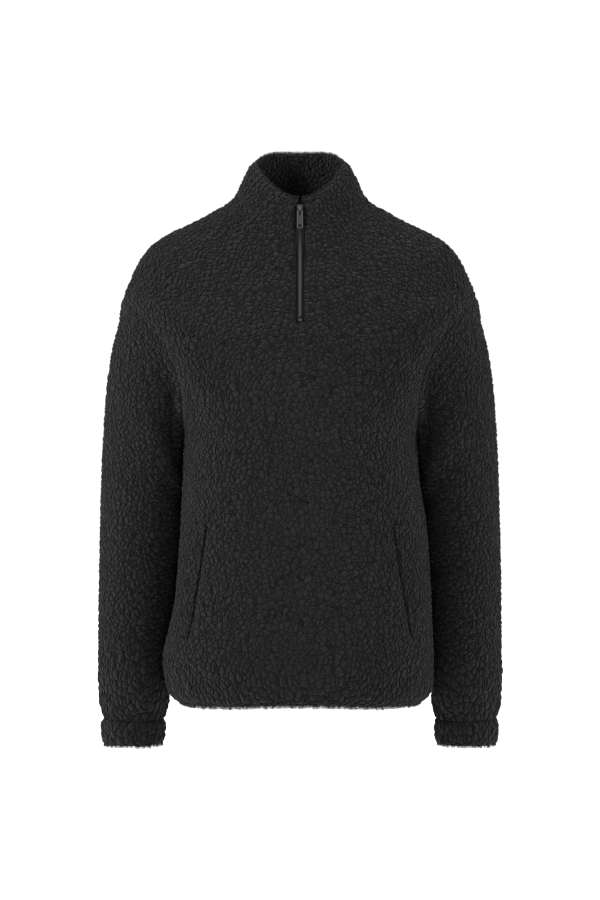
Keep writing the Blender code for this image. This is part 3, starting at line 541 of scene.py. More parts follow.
def sleeveRelief(side, grid):
    t = np.linspace(0, 1, len(grid))[:, None]
    angles = np.degrees(np.arange(grid.shape[1]) * 2 * math.pi / grid.shape[1])[None]
    out = np.zeros(grid.shape[:2])
    for k in range(len(sleeveCreases["t"])):
        crease = {name: sleeveCreases[name][k] for name in sleeveCreases}
        off = (angles - crease["angle"] - 14 * side + 180) % 360 - 180
        out += crease["height"] * np.exp(-(((t - crease["t"]) / crease["reachT"]) ** 2)
                                         - (off / crease["reachAngle"]) ** 2)
    look = sleeveLook
    gathers = bell(t - look["gatherAt"], look["gatherReach"]) * np.cos(
        np.radians(angles * look["gathers"] + 40 * side))
    out = (out + look["gatherHeight"] * gathers) * np.clip(t / 0.05, 0, 1) * np.clip((1 - t) / 0.03, 0, 1)
    awayFromBody = np.clip((np.abs(angles - 180) - 16) / 26, 0, 1)
    for k in range(len(valleys["angle"])):
        across = bell(angles - valleys["angle"][k], valleys["reachAngle"][k]) * awayFromBody
        along = bell(t - look["valleyAt"], look["valleyReach"])
        out -= valleys["depth"][k] * across * along * np.clip(t / 0.03, 0, 1)
    inside = bell(angles - 180, look["fullerAngle"])
    out += look["fuller"] * inside * bell(t - look["fullerAt"], look["fullerReach"])
    return out


# Panels: their points, and how far each point is from each of its edges.
def edgeDistances(grid, closed):
    # rows from the foot and the top, and columns from the left and the right, as lengths
    up = np.concatenate([np.zeros((1, grid.shape[1])),
                         np.cumsum(np.linalg.norm(np.diff(grid, axis=0), axis=2), axis=0)])
    found = {"foot": up, "top": up[-1] - up}
    if not closed:
        over = np.concatenate([np.zeros((len(grid), 1)),
                               np.cumsum(np.linalg.norm(np.diff(grid, axis=1), axis=2), axis=1)], axis=1)
        found.update(start=over, end=over[:, -1:] - over)
    return found


def bodyPanel(face):
    grid, beside = bodyGrid(face)
    panel = {"points": grid, "closed": False, "outward": -face, "seams": ("top", "start", "end"),
             "free": ("foot",), "relief": bodyRelief(face, grid, beside), "holes": [], "group": "body"}
    if face == front:
        middle = weave["halfColumns"]
        rows = [0] + [sum(count for _, count in bodySpans[:k + 1]) for k in range(len(bodySpans))]
        low, slot, wide = weave["slitColumn"], weave["slotColumn"], weave["slitWide"]
        panel["holes"] = [
            (rows[5], rows[6], middle - slot, middle + slot),
            (rows[1], rows[2], middle + low, middle + low + wide),
            (rows[1], rows[2], middle - low - wide, middle - low),
        ]
        panel["zip"] = np.abs(grid[..., 0]) - cut["zipSlot"] / 2
        panel["beside"] = beside
    return panel


def sleevePanel(side):
    grid = sleeveGrid(side)
    return {"points": grid, "closed": True, "outward": -side, "seams": ("foot", "top"), "free": (),
            "relief": sleeveRelief(side, grid), "holes": [], "group": "sleeve"}


def collarPanel():
    steps = np.linspace(0, 1, weave["collarRows"] + 1)
    grid = np.array([collarRing(v) for v in steps])
    wall = np.array([column(collarRings, "v", "wall", v) for v in steps])
    return {"points": grid, "closed": False, "outward": -1, "seams": ("foot",), "free": ("top",),
            "turned": ("start", "end"), "relief": np.zeros(grid.shape[:2]), "holes": [], "group": "collar",
            "wall": wall[:, None] * np.ones(grid.shape[1])}


def borderPoints(panel):
    grid, normals = panel["points"], panel["normals"]
    picks = [(0, slice(None)), (-1, slice(None))]
    if not panel["closed"]:
        picks += [(slice(None), 0), (slice(None), -1)]
    return np.concatenate([grid[p] for p in picks]), np.concatenate([normals[p] for p in picks])


# How far the pile is drawn into a seam, and how flat it lies there, beside the zip, the slits and the
# turned ends of the collar.
seamLook = {
    "wide": 1.5, "dip": 1.1, "share": 0.55, "cuffShare": 0.3, "turnReach": 22.0, "flat": 0.7,
    "zipShare": 0.6, "zipWide": 2.0, "slitShare": 0.15, "slitWide": 1.2, "slitFrom": 3,
    "turnedShare": 0.7, "turnedWide": 2.4,
}


def seamNormals(panels):
    # towards a seam, the wall of both of its panels turns to one common direction
    borders = {name: borderPoints(panel) for name, panel in panels.items()}
    for name, panel in panels.items():
        others = [borders[other] for other in panels if panels[other]["group"] != panel["group"] or (
            panel["group"] == "body" and other != name)]
        points = np.concatenate([o[0] for o in others])
        normals = np.concatenate([o[1] for o in others])
        grid = panel["points"]
        total = panel["normals"].copy()
        for edge in panel["seams"]:
            index = {"foot": (0, slice(None)), "top": (-1, slice(None)),
                     "start": (slice(None), 0), "end": (slice(None), -1)}[edge]
            rim, own = grid[index], panel["normals"][index]
            away = np.linalg.norm(rim[:, None] - points[None], axis=2)
            near = away.argmin(axis=1)
            close = away.min(axis=1) < 4
            common = unit(own + np.where(close[:, None], normals[near], own))
            share = fade(panel["away"][edge], 0, seamLook["turnReach"])
            spread = common[None] if edge in ("foot", "top") else common[:, None]
            total = total + 3 * share[..., None] * (spread - panel["normals"])
            total = np.where((share > 0.98)[..., None], spread, total)
        panel["wallWay"] = unit(total)


def preparePanel(panel):
    panel["normals"] = gridNormals(panel["points"], panel["closed"], panel["outward"])
    panel["away"] = edgeDistances(panel["points"], panel["closed"])
    panel.setdefault("wall", np.full(panel["points"].shape[:2], cut["cloth"]))


def roundedEdge(away, radius):
    # how far a surface draws in towards the middle of the cloth near a turned edge
    x = np.clip(1 - away / radius, 0, 1)
    return radius * (1 - np.sqrt(1 - x**2))


def raisePile(panel):
    # the outer surface with its nubs, and the inner one under it
    look = seamLook
    points = panel["points"] + panel["relief"][..., None] * panel["normals"]
    panel["places"] = pilePlaces(panel["points"])
    nubs = readPile(panel["places"])
    inSeam = np.zeros(nubs.shape)
    for edge in panel["seams"]:
        share = look["cuffShare"] if panel["closed"] and edge == "top" else look["share"]
        inSeam = np.maximum(inSeam, share * bell(panel["away"][edge], look["wide"]))
    if "zip" in panel:
        z = panel["points"][..., 2]
        byZip = bell(np.clip(panel["zip"], 0, None), look["zipWide"]) * fade(cut["zipEndZ"] - z, -4, 4)
        bySlit = bell(np.clip(np.abs(panel["beside"]) - look["slitFrom"], 0, None), look["slitWide"])
        bySlit = bySlit * fade(np.maximum(z - cut["pocketTop"][1], cut["pocketFoot"][1] - z), 0, 8)
        inSeam = np.maximum(inSeam, np.maximum(look["zipShare"] * byZip, look["slitShare"] * bySlit))
    for edge in panel.get("turned", ()):
        inSeam = np.maximum(inSeam, look["turnedShare"] * bell(panel["away"][edge], look["turnedWide"]))
    rim = np.zeros(nubs.shape)
    for edge in panel["free"] + tuple(panel.get("turned", ())):
        rim = np.maximum(rim, roundedEdge(panel["away"][edge], 0.5 * panel["wall"].max()))
    lift = pileLook["height"] * (nubs - pileLook["level"]) * (1 - look["flat"] * inSeam)
    lift = lift - look["dip"] * inSeam - rim
    panel["outer"] = points + lift[..., None] * panel["wallWay"]
    panel["inSeam"] = inSeam
    panel["inner"] = points - (panel["wall"] - rim)[..., None] * panel["wallWay"]


def gridFaces(rows, columns, closed, holes, every=1):
    # cells of a grid, with those inside a hole left out
    keep = np.ones((rows - 1, columns if closed else columns - 1), bool)
    for r0, r1, c0, c1 in holes:
        keep[r0 // every:r1 // every, c0 // every:c1 // every] = False
    i, j = np.nonzero(keep)
    k = (j + 1) % columns
    return np.stack([i * columns + j, i * columns + k, (i + 1) * columns + k, (i + 1) * columns + j], axis=1)


def openEdges(faces):
    edges = set()
    for face in faces.tolist():
        edges.update(zip(face, face[1:] + face[:1]))
    return [(a, b) for a, b in edges if (b, a) not in edges]


def shell(name, panel, every, finishes):
    # one closed shell: the fine outer surface, a coarser inner one, and a rim that joins them
    rows, columns = panel["outer"].shape[:2]
    inner = panel["inner"][::every, ::every]
    innerRows, innerColumns = inner.shape[:2]
    outerFaces = gridFaces(rows, columns, panel["closed"], panel["holes"])
    innerFaces = gridFaces(innerRows, innerColumns, panel["closed"], panel["holes"], every)
    count = rows * columns
    rims = []
    for a, b in sorted(openEdges(innerFaces)):
        (ia, ja), (ib, jb) = divmod(a, innerColumns), divmod(b, innerColumns)
        stepI, stepJ = ib - ia, jb - ja
        if abs(stepJ) > 1:
            stepJ = -int(np.sign(stepJ))
        line = [(every * ia + stepI * k) * columns + (every * ja + stepJ * k) % columns
                for k in range(every + 1)]
        half = every // 2
        for k in range(every):
            rims.append((line[k + 1], line[k], count + (a if k < half else b)))
        rims.append((line[half], count + a, count + b))
    faces = outerFaces.tolist() + [face[::-1] for face in (innerFaces + count).tolist()] + rims
    if panel["outward"] < 0:
        faces = [face[::-1] for face in faces]
    points = np.concatenate([panel["outer"].reshape(-1, 3), inner.reshape(-1, 3)])
    behind = panel.get("innerPlaces", panel["places"])[::every, ::every]
    places = np.concatenate([panel["places"].reshape(-1, 3), behind.reshape(-1, 3)])
    inSeam = np.concatenate([panel["inSeam"].reshape(-1), panel["inSeam"][::every, ::every].reshape(-1)])
    insides = [0] * len(outerFaces) + [1] * len(innerFaces) + [0] * len(rims)
    return meshPiece(name, points, faces, finishes, insides, (places, inSeam))


def meshPiece(name, points, faces, finishes, slots=None, pile=None, body="garment",
              closed=True):
    # pile holds each point's place among the nubs and how far it is drawn into a seam, which the finish
    # paints as shade
    mesh = bpy.data.meshes.new(name)
    mesh.from_pydata((np.asarray(points) * mm).tolist(), [], faces)
    for finish in finishes:
        mesh.materials.append(finish)
    if slots is not None:
        mesh.polygons.foreach_set("material_index", slots)
    if pile is not None:
        places = np.asarray(pile[0], np.float32).reshape(-1)
        mesh.attributes.new("place", "FLOAT_VECTOR", "POINT").data.foreach_set("vector", places)
        inSeam = np.asarray(pile[1], np.float32).reshape(-1)
        mesh.attributes.new("inSeam", "FLOAT", "POINT").data.foreach_set("value", inSeam)
    clean = bmesh.new()
    clean.from_mesh(mesh)
    loose = [v for v in clean.verts if not v.link_faces]
    bmesh.ops.delete(clean, geom=loose, context="VERTS")
    if closed:
        bmesh.ops.recalc_face_normals(clean, faces=clean.faces)
    clean.to_mesh(mesh)
    clean.free()
    mesh.shade_smooth()
    if closed:
        mesh.set_sharp_from_angle(angle=math.radians(72))
    piece = bpy.data.objects.new(name, mesh)
    bpy.context.scene.collection.objects.link(piece)
    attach(piece, body)
    return piece


# Finishes. The pile's colour and bump read the same cells as its mesh, so that its cracks get painted shade.
# Painted shade darkens the pile towards the body's hem, where it rolls under. Heights and reaches there are
# in metres.
finishLook = {
    # crackShade is the near-black colour of the painted shade in the pile's cracks and seams
    "crackShade": (0.0003, 0.0003, 0.0003), "pile": (0.0062, 0.0060, 0.0057), "pileTip": (0.018, 0.0175, 0.0168),
    "fringe": (0.024, 0.0235, 0.0225), "pileSheen": 0.035, "nubBump": 0.0038,
    "curlScale": 420, "fibreScale": 1250, "patchScale": 17,
    # hemShade is the share of its colour that the pile keeps under the painted shade at the body's hem
    "hemShade": 0.74, "hemShadeZ": (-0.65, -0.55), "bodySideX": (0.158, 0.178),
    "backing": (0.006, 0.006, 0.006), "bag": (0.004, 0.004, 0.004), "tape": (0.0020, 0.0021, 0.0023),
    "teeth": (0.060, 0.066, 0.065), "metal": (0.036, 0.037, 0.039), "slider": (0.020, 0.021, 0.022),
}


def newFinish(name, roughness, metallic=0.0):
    made = bpy.data.materials.new(name)
    made.use_nodes = True
    shader = made.node_tree.nodes["Principled BSDF"]
    shader.inputs["Roughness"].default_value = roughness
    shader.inputs["Metallic"].default_value = metallic
    return made, made.node_tree.nodes, made.node_tree.links, shader


def mixNode(nodes, links, share, first, second, kind="MIX"):
    made = nodes.new("ShaderNodeMix")
    made.data_type = "RGBA"
    made.blend_type = kind
    for socket, value in ((made.inputs[0], share), (made.inputs[6], first), (made.inputs[7], second)):
        if isinstance(value, bpy.types.NodeSocket):
            links.new(value, socket)
        elif isinstance(value, tuple):
            socket.default_value = (*value, 1)
        else:
            socket.default_value = value
    return made.outputs[2]


def bumpNode(nodes, links, height, distance, strength, under=None):
    made = nodes.new("ShaderNodeBump")
    made.inputs["Distance"].default_value = distance
    made.inputs["Strength"].default_value = strength
    links.new(height, made.inputs["Height"])
    if under is not None:
        links.new(under, made.inputs["Normal"])
    return made.outputs["Normal"]


def objectCoords(nodes, links, stretch=(1, 1, 1)):
    coords = nodes.new("ShaderNodeTexCoord").outputs["Object"]
    mapping = nodes.new("ShaderNodeMapping")
    mapping.inputs["Scale"].default_value = stretch
    links.new(coords, mapping.inputs["Vector"])
    return mapping.outputs["Vector"]


def sherpaFinish():
    made, nodes, links, shader = newFinish("curlySherpa", 0.92)
    place, drawn = nodes.new("ShaderNodeAttribute"), nodes.new("ShaderNodeAttribute")
    place.attribute_name, drawn.attribute_name = "place", "inSeam"
    height, crackShade, tone, _ = nubNodes(nodes, links, place.outputs["Vector"])
    coords = objectCoords(nodes, links)
    curls = noiseNode(nodes, links, coords, finishLook["curlScale"], 3, 1.4)
    fibres = noiseNode(nodes, links, coords, finishLook["fibreScale"], 2, 2.0)
    patches = noiseNode(nodes, links, coords, finishLook["patchScale"], 2)
    # painted shade: the cracks between nubs and the pile drawn into seams darken towards the near-black
    # crackShade colour
    paintedShade = mathNode(nodes, links, "MAXIMUM", crackShade, drawn.outputs["Fac"])
    colour = mixNode(nodes, links, paintedShade, finishLook["pile"], finishLook["crackShade"])
    tips = mathNode(nodes, links, "MULTIPLY", rangeNode(nodes, links, fibres, 0.54, 0.76),
                    rangeNode(nodes, links, height, 0.55, 1.0))
    tips = mathNode(nodes, links, "MULTIPLY", tips, 0.6)
    colour = mixNode(nodes, links, tips, colour, finishLook["pileTip"])
    toneAndPaintedShade = rangeNode(nodes, links, patches, 0.3, 0.7, 0.93, 1.07)
    apart = nodes.new("ShaderNodeSeparateXYZ")
    links.new(coords, apart.inputs[0])
    # painted shade: the pile darkens towards the body's hem, with the sleeves beside it left out; the random
    # tones below are the pile's own
    low = rangeNode(nodes, links, apart.outputs["Z"], *finishLook["hemShadeZ"], finishLook["hemShade"], 1.0)
    sideways = mathNode(nodes, links, "ABSOLUTE", apart.outputs["X"], 0.0)
    beside = rangeNode(nodes, links, sideways, *finishLook["bodySideX"])
    low = mathNode(nodes, links, "MAXIMUM", low, beside)
    toneAndPaintedShade = mathNode(nodes, links, "MULTIPLY", toneAndPaintedShade, low)
    toneAndPaintedShade = mathNode(nodes, links, "MULTIPLY", toneAndPaintedShade, rangeNode(nodes, links, curls, 0.3, 0.7, 0.78, 1.2))
    toneAndPaintedShade = mathNode(nodes, links, "MULTIPLY", toneAndPaintedShade, rangeNode(nodes, links, tone, 0.2, 0.8, 0.9, 1.1))
    colour = mixNode(nodes, links, 1.0, colour, toneAndPaintedShade, "MULTIPLY")
    links.new(colour, shader.inputs["Base Color"])
    links.new(rangeNode(nodes, links, fibres, 0.3, 0.7, 0.85, 1.0), shader.inputs["Roughness"])
    normal = bumpNode(nodes, links, height, finishLook["nubBump"], 1.0)
    normal = bumpNode(nodes, links, curls, 0.0007, 0.7, normal)
    normal = bumpNode(nodes, links, fibres, 0.0003, 0.6, normal)
    links.new(normal, shader.inputs["Normal"])
    shader.inputs["Sheen Weight"].default_value = finishLook["pileSheen"]
    shader.inputs["Sheen Roughness"].default_value = 0.45
    shader.inputs["Specular IOR Level"].default_value = 0.06
    return made


def fibreFinish():
    made, nodes, links, shader = newFinish("looseFibre", 0.9)
    patches = noiseNode(nodes, links, objectCoords(nodes, links), 240, 2)
    colour = mixNode(nodes, links, patches, finishLook["pile"], finishLook["fringe"])
    links.new(colour, shader.inputs["Base Color"])
    shader.inputs["Sheen Weight"].default_value = 0.1
    shader.inputs["Specular IOR Level"].default_value = 0.06
    return made


def knitFinish(name, colour, stitches):
    # plain fine knit: rows of small loops
    made, nodes, links, shader = newFinish(name, 0.9)
    loops = nodes.new("ShaderNodeTexWave")
    loops.inputs["Scale"].default_value = stitches
    loops.inputs["Distortion"].default_value = 2.2
    loops.inputs["Detail"].default_value = 1.0
    loops.inputs["Detail Scale"].default_value = 3.0
    coords = objectCoords(nodes, links)
    links.new(coords, loops.inputs["Vector"])
    lint = noiseNode(nodes, links, coords, 900, 3)
    tint = mathNode(nodes, links, "MULTIPLY", rangeNode(nodes, links, lint, 0.3, 0.7, 0.7, 1.4),
                    rangeNode(nodes, links, loops.outputs["Fac"], 0, 1, 0.7, 1.1))
    links.new(mixNode(nodes, links, 1.0, colour, tint, "MULTIPLY"), shader.inputs["Base Color"])
    links.new(rangeNode(nodes, links, lint, 0.3, 0.7, 0.8, 1.0), shader.inputs["Roughness"])
    normal = bumpNode(nodes, links, loops.outputs["Fac"], 0.0004, 0.6)
    links.new(bumpNode(nodes, links, lint, 0.0003, 0.4, normal), shader.inputs["Normal"])
    shader.inputs["Specular IOR Level"].default_value = 0.1
    return made


def tapeFinish():
    # a close twill
    made, nodes, links, shader = newFinish("zipTape", 0.75)
    coords = objectCoords(nodes, links)
    twill = nodes.new("ShaderNodeTexWave")
    twill.bands_direction = "DIAGONAL"
    twill.inputs["Scale"].default_value = 420
    twill.inputs["Distortion"].default_value = 0.6
    links.new(coords, twill.inputs["Vector"])
    lint = noiseNode(nodes, links, coords, 1400, 2)
    tint = mathNode(nodes, links, "MULTIPLY", rangeNode(nodes, links, lint, 0.3, 0.7, 0.7, 1.3),
                    rangeNode(nodes, links, twill.outputs["Fac"], 0, 1, 0.6, 1.25))
    links.new(mixNode(nodes, links, 1.0, finishLook["tape"], tint, "MULTIPLY"), shader.inputs["Base Color"])
    links.new(bumpNode(nodes, links, twill.outputs["Fac"], 0.0002, 0.7), shader.inputs["Normal"])
    shader.inputs["Specular IOR Level"].default_value = 0.08
    return made


def hardFinish(name, colour, roughness, metallic, shadedAbove=None):
    # fine handling marks, with painted shade that darkens everything above a height when one is given
    made, nodes, links, shader = newFinish(name, roughness, metallic)
    coords = objectCoords(nodes, links)
    marks = noiseNode(nodes, links, coords, 700, 4, 0.8)
    clouds = noiseNode(nodes, links, coords, 120, 3)
    tint = rangeNode(nodes, links, clouds, 0.3, 0.7, 0.85, 1.15)
    if shadedAbove:
        apart = nodes.new("ShaderNodeSeparateXYZ")
        links.new(coords, apart.inputs[0])
        topShade = rangeNode(nodes, links, apart.outputs["Z"], -shadedAbove[1] * mm, -shadedAbove[0] * mm, 1.0, shadedAbove[2])
        tint = mathNode(nodes, links, "MULTIPLY", tint, topShade)
    links.new(mixNode(nodes, links, 1.0, colour, tint, "MULTIPLY"), shader.inputs["Base Color"])
    links.new(rangeNode(nodes, links, marks, 0.3, 0.7, roughness - 0.08, roughness + 0.1),
              shader.inputs["Roughness"])
    links.new(bumpNode(nodes, links, marks, 0.00005, 0.5), shader.inputs["Normal"])
    return made


sherpa, looseFibre = sherpaFinish(), fibreFinish()
backing = knitFinish("fleeceBacking", finishLook["backing"], 300)
bagKnit = knitFinish("bagKnit", finishLook["bag"], 420)
zipTape = tapeFinish()
# painted shade: the teeth are darkened to a twentieth above 42 mm below the neck, under the collar, fading
# out by 66 mm
teethFinish = hardFinish("zipTeeth", finishLook["teeth"], 0.5, 0.0, (42, 66, 0.05))
zipMetal = hardFinish("zipMetal", finishLook["metal"], 0.36, 0.85)
sliderPaint = hardFinish("sliderPaint", finishLook["slider"], 0.45, 0.4)

# Cloth panels.
print("working out the cloth")
panels = {"front": bodyPanel(front), "back": bodyPanel(back), "sleeve_left": sleevePanel(left),
          "sleeve_right": sleevePanel(right), "collar": collarPanel()}
for panel in panels.values():
    preparePanel(panel)
seamNormals(panels)
print("raising the pile")
for panel in panels.values():
    raisePile(panel)


def raiseLining(panel, shift=400.0, share=0.8):
    # the collar is two layers, with the pile on its inside too
    panel["innerPlaces"] = pilePlaces(panel["points"], shift)
    nubs = readPile(panel["innerPlaces"])
    byEdge = bell(np.minimum(panel["away"]["start"], panel["away"]["end"]), 3.0)
    lift = pileLook["height"] * share * (nubs - pileLook["level"]) * (1 - byEdge)
    panel["inner"] = panel["inner"] - lift[..., None] * panel["wallWay"]


raiseLining(panels["collar"])
cloth = {}
for name, panel in panels.items():
    print("making", name)
    every = 1 if name == "collar" else weave["innerEvery"]
    cloth[name] = shell(name + "_sherpa", panel, every, [sherpa, sherpa if name == "collar" else backing])
    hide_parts(name)


# Cuffs: a band folded double, its section swept round an oval. The section runs down outside and up inside.
cuff = {
    "x": 219.4, "y": 26.5, "halfWidth": 42.8, "halfDepth": 40.4, "footZ": -709.5,
    "pile": 1.0, "pileShift": 900.0, "seamWide": 2.2, "seamDip": 0.7, "seamFlat": 0.8, "seamShade": 0.35,
}
cuffSection = table(
    "z inset",
    [(33.1, 2.6), (28, 0.5), (16, 0), (6, 0.8), (1.5, 2.9), (0, 5.0), (2, 7.2), (16, 6.8), (33.1, 8.2)],
)


def cuffPiece(side):
    corners = np.stack([cuffSection["z"], cuffSection["inset"]], axis=1)
    length = lengthsAlong(corners)
    at = np.linspace(0, length[-1], weave["cuffRows"] + 1)
    z, inset = (smooth(at, length, corners[:, k]) for k in (0, 1))
    a = np.arange(weave["cuffColumns"]) * 2 * math.pi / weave["cuffColumns"]
    x = cuff["x"] + (cuff["halfWidth"] - inset[:, None]) * np.cos(a)
    y = cuff["y"] + (cuff["halfDepth"] - inset[:, None]) * np.sin(a)
    grid = np.stack([side * x, y, cuff["footZ"] + z[:, None] + 0 * a], axis=2)
    normals = gridNormals(grid, True, -side)
    places = pilePlaces(grid, cuff["pileShift"])
    inSeam = bell(np.minimum(at, length[-1] - at)[:, None], cuff["seamWide"]) + 0 * a
    lift = cuff["pile"] * pileLook["height"] * (readPile(places) - pileLook["level"])
    lift = lift * (1 - cuff["seamFlat"] * inSeam) - cuff["seamDip"] * inSeam
    outer = grid + lift[..., None] * normals
    rows, columns = outer.shape[:2]
    faces = gridFaces(rows, columns, True, []).tolist()
    last = (rows - 1) * columns
    faces += [[last + j, last + (j + 1) % columns, (j + 1) % columns, j] for j in range(columns)]
    name = sideName("cuff", side)
    # the share seamShade of the pile drawn into the cuff's seams becomes painted shade in the finish
    made = meshPiece(name + "_sherpa", outer.reshape(-1, 3), faces, [sherpa],
                     pile=(places, cuff["seamShade"] * inSeam))
    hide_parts(name)
    return made, outer, normals


print("making cuffs")
cuffs = {}
for side in (left, right):
    name = sideName("cuff", side)
    cloth[name], outer, normals = cuffPiece(side)
    cuffs[name] = {"outer": outer, "wallWay": normals, "closed": True}


# Pocket welts and bags, worked out from the front's own points.
welt = {
    "wide": 19.0, "pastEnd": 4.0, "sewnThick": 3.4, "endThick": 2.4, "endReach": 26, "across": 15,
    "lift": 0.35, "rise": 1.3, "sink": 1.6, "fromSlit": 0.35, "pile": 0.8, "pileShift": 57.0,
}
bag = {"thick": 1.6, "behind": 0.5, "from": -60.0, "to": 17.0, "low": -598.0, "high": -388.0, "across": 30}


def onFront(side, i, beside, deeper=0.0):
    # points of the front's outer surface, by their way along row i from the slit's middle, and its normals
    panel, middle = panels["front"], weave["halfColumns"]
    take = slice(middle, None) if side == right else slice(middle, None, -1)
    ways = panel["beside"][i, take]
    surface = panel["points"] + (panel["relief"][..., None] - deeper) * panel["normals"]
    both = np.concatenate([surface[i, take], panel["wallWay"][i, take]], axis=1)
    found = np.stack([np.interp(beside, ways, both[:, k]) for k in range(6)], axis=1)
    return found[:, :3], unit(found[:, 3:])


def frontRows(lowZ, highZ):
    # the front's rows whose middle lies between two heights, each with that height
    middleZ = cut["hemZ"] + bodyLevels() * (cut["underarmZ"] - cut["hemZ"])
    return [(i, z) for i, z in enumerate(middleZ) if lowZ <= z <= highZ]


def weltPiece(side):
    footZ, topZ = cut["pocketFoot"][1], cut["pocketTop"][1]
    rows = frontRows(footZ - welt["pastEnd"], topZ + welt["pastEnd"])
    outer, inner, around = [], [], []
    for i, z in rows:
        half = slitHalfGap(z)
        end = fade(min(topZ - z, z - footZ), 0, welt["endReach"])
        along = np.linspace(-half + welt["fromSlit"], welt["wide"] - half, welt["across"])
        points, normals = onFront(side, i, along)
        share = (along - along[0]) / (along[-1] - along[0])
        thick = cut["cloth"] + (welt["endThick"] - cut["cloth"]) * end
        thick = thick - (cut["cloth"] - welt["sewnThick"]) * fade(share, 0, 0.12) * (1 - end)
        turned = roundedEdge((1 - share) * (along[-1] - along[0]), 0.45 * thick.max())
        low = welt["lift"] + welt["rise"] * share**2 * (1 - end)
        low = low - welt["sink"] * fade(share, 0, 0.1) * (1 - end)
        outer.append(points + normals * (low + thick - turned)[:, None])
        inner.append(points + normals * (low + 0.6 * turned)[:, None])
        around.append(normals)
    outer, inner, around = np.array(outer), np.array(inner), np.array(around)
    places = pilePlaces(outer, welt["pileShift"])
    seam = bell(np.linspace(0, 1, welt["across"]), 0.09)[None]
    ends = np.minimum(np.arange(len(rows)), np.arange(len(rows))[::-1])[:, None]
    quiet = np.clip(1 - seam, 0, 1) * np.clip(ends / 3, 0.15, 1)
    lift = welt["pile"] * pileLook["height"] * (readPile(places) - pileLook["level"]) * quiet
    outer = outer + lift[..., None] * around
    panel = {"outer": outer, "inner": inner, "closed": False, "holes": [], "outward": side,
             # painted shade along the welt's sewn edge and at its ends
             "places": places, "inSeam": 0.35 * (1 - quiet), "wallWay": around}
    name = sideName("welt", side)
    made = shell(name + "_sherpa", panel, 1, [sherpa, backing])
    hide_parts(name)
    return made


def bagPiece(side):
    outer, inner = [], []
    along = np.linspace(bag["from"], bag["to"], bag["across"])
    for i, _ in frontRows(bag["low"], bag["high"])[::2]:
        points, normals = onFront(side, i, along, cut["cloth"])
        outer.append(points - normals * bag["behind"])
        inner.append(points - normals * (bag["behind"] + bag["thick"]))
    outer = np.array(outer)
    panel = {"outer": outer, "inner": np.array(inner), "closed": False, "holes": [], "outward": side,
             "places": outer, "inSeam": np.zeros(outer.shape[:2])}
    name = sideName("pocket_bag", side)
    made = shell(name + "_knit", panel, 1, [bagKnit, bagKnit])
    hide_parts(name)
    return made


print("making pockets")
for side in (left, right):
    cloth[sideName("welt", side)] = weltPiece(side)
    cloth[sideName("pocket_bag", side)] = bagPiece(side)


# The zip. Depths are from the front's outer surface inwards, lengths run down from the collar's top.
zipper = {
    "start": 8.2, "pastEnd": 12, "endGap": 1.6,
    "tapeInner": 0.8, "tapeOuter": 4.95, "tapeDepth": 2.3, "tapeThick": 1.0, "tapeCrown": 0.25,
    "firstTooth": 9.0, "pitch": 3.03, "toothLong": 1.2, "toothWide": 1.35, "toothThick": 1.3,
    "toothDepth": 0.95, "toothFromMiddle": 1.0, "toothTilt": 0.7, "toothLean": 0.10, "toothCorner": 0.3,
    "cordHalf": 1.2, "cordDepth": 1.5, "cordThick": 0.5,
    "stopWide": 4.4, "stopLong": 3.9, "stopThick": 2.3, "stopDepth": 0.85, "stopGap": 0.4, "stopCorner": 0.55,
}


def zipLine():
    collarSide = panels["collar"]["points"][::-1, 0, 1:]
    beside = panels["front"]["points"][:, weave["halfColumns"] + weave["slotColumn"], 1:]
    slot = [point for point in beside[-2::-1] if point[1] > cut["zipEndZ"] - zipper["pastEnd"]]
    line = np.array(list(collarSide) + slot)
    return lengthsAlong(line), line


zipLength, zipPoints = zipLine()
zipEnd = float(np.interp(-cut["zipEndZ"], -zipPoints[:, 1], zipLength)) - zipper["endGap"]


def zipPlace(at):
    # a point of the zip's middle line, with the ways down and out of the cloth
    here, ahead, behind = (
        [np.interp(at + away, zipLength, zipPoints[:, k]) for k in (0, 1)] for away in (0, 6, -6))
    down = unit(np.array([0, ahead[0] - behind[0], ahead[1] - behind[1]]))
    return np.array([0, *here]), down, np.array([0, down[2], -down[1]])


def roundedBar(sections):
    # faces that join rings of equal counts, with both ends closed
    count = len(sections[0])
    points = np.concatenate(sections)
    faces = []
    for i in range(len(sections) - 1):
        for j in range(count):
            k = (j + 1) % count
            faces.append([i * count + j, i * count + k, (i + 1) * count + k, (i + 1) * count + j])
    last = (len(sections) - 1) * count
    return points, faces + [list(range(count))[::-1], list(range(last, last + count))]


def zipPart(name, node, points, faces, finishes, slots=None, body="garment", sharp=40):
    made = meshPiece(name, points, faces, finishes, slots, body=body)
    made.data.set_sharp_from_angle(angle=math.radians(sharp))
    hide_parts(node)


def tapePiece(side):
    x0, x1 = side * zipper["tapeInner"], side * zipper["tapeOuter"]
    sections = []
    for at in np.arange(zipper["start"], zipEnd, 1.0):
        point, _, out = zipPlace(at)
        ring = []
        for x in np.linspace(x0, x1, 8):
            crown = zipper["tapeCrown"] * math.sin(math.pi * (x - x0) / (x1 - x0))
            ring.append(point + [x, 0, 0] - out * (zipper["tapeDepth"] - crown))
        for x in np.linspace(x1, x0, 4):
            ring.append(point + [x, 0, 0] - out * (zipper["tapeDepth"] + zipper["tapeThick"]))
        sections.append(np.array(ring))
    points, faces = roundedBar(sections)
    name = sideName("tape", side)
    zipPart(name + "_woven", name, points, faces, [zipTape], sharp=72)


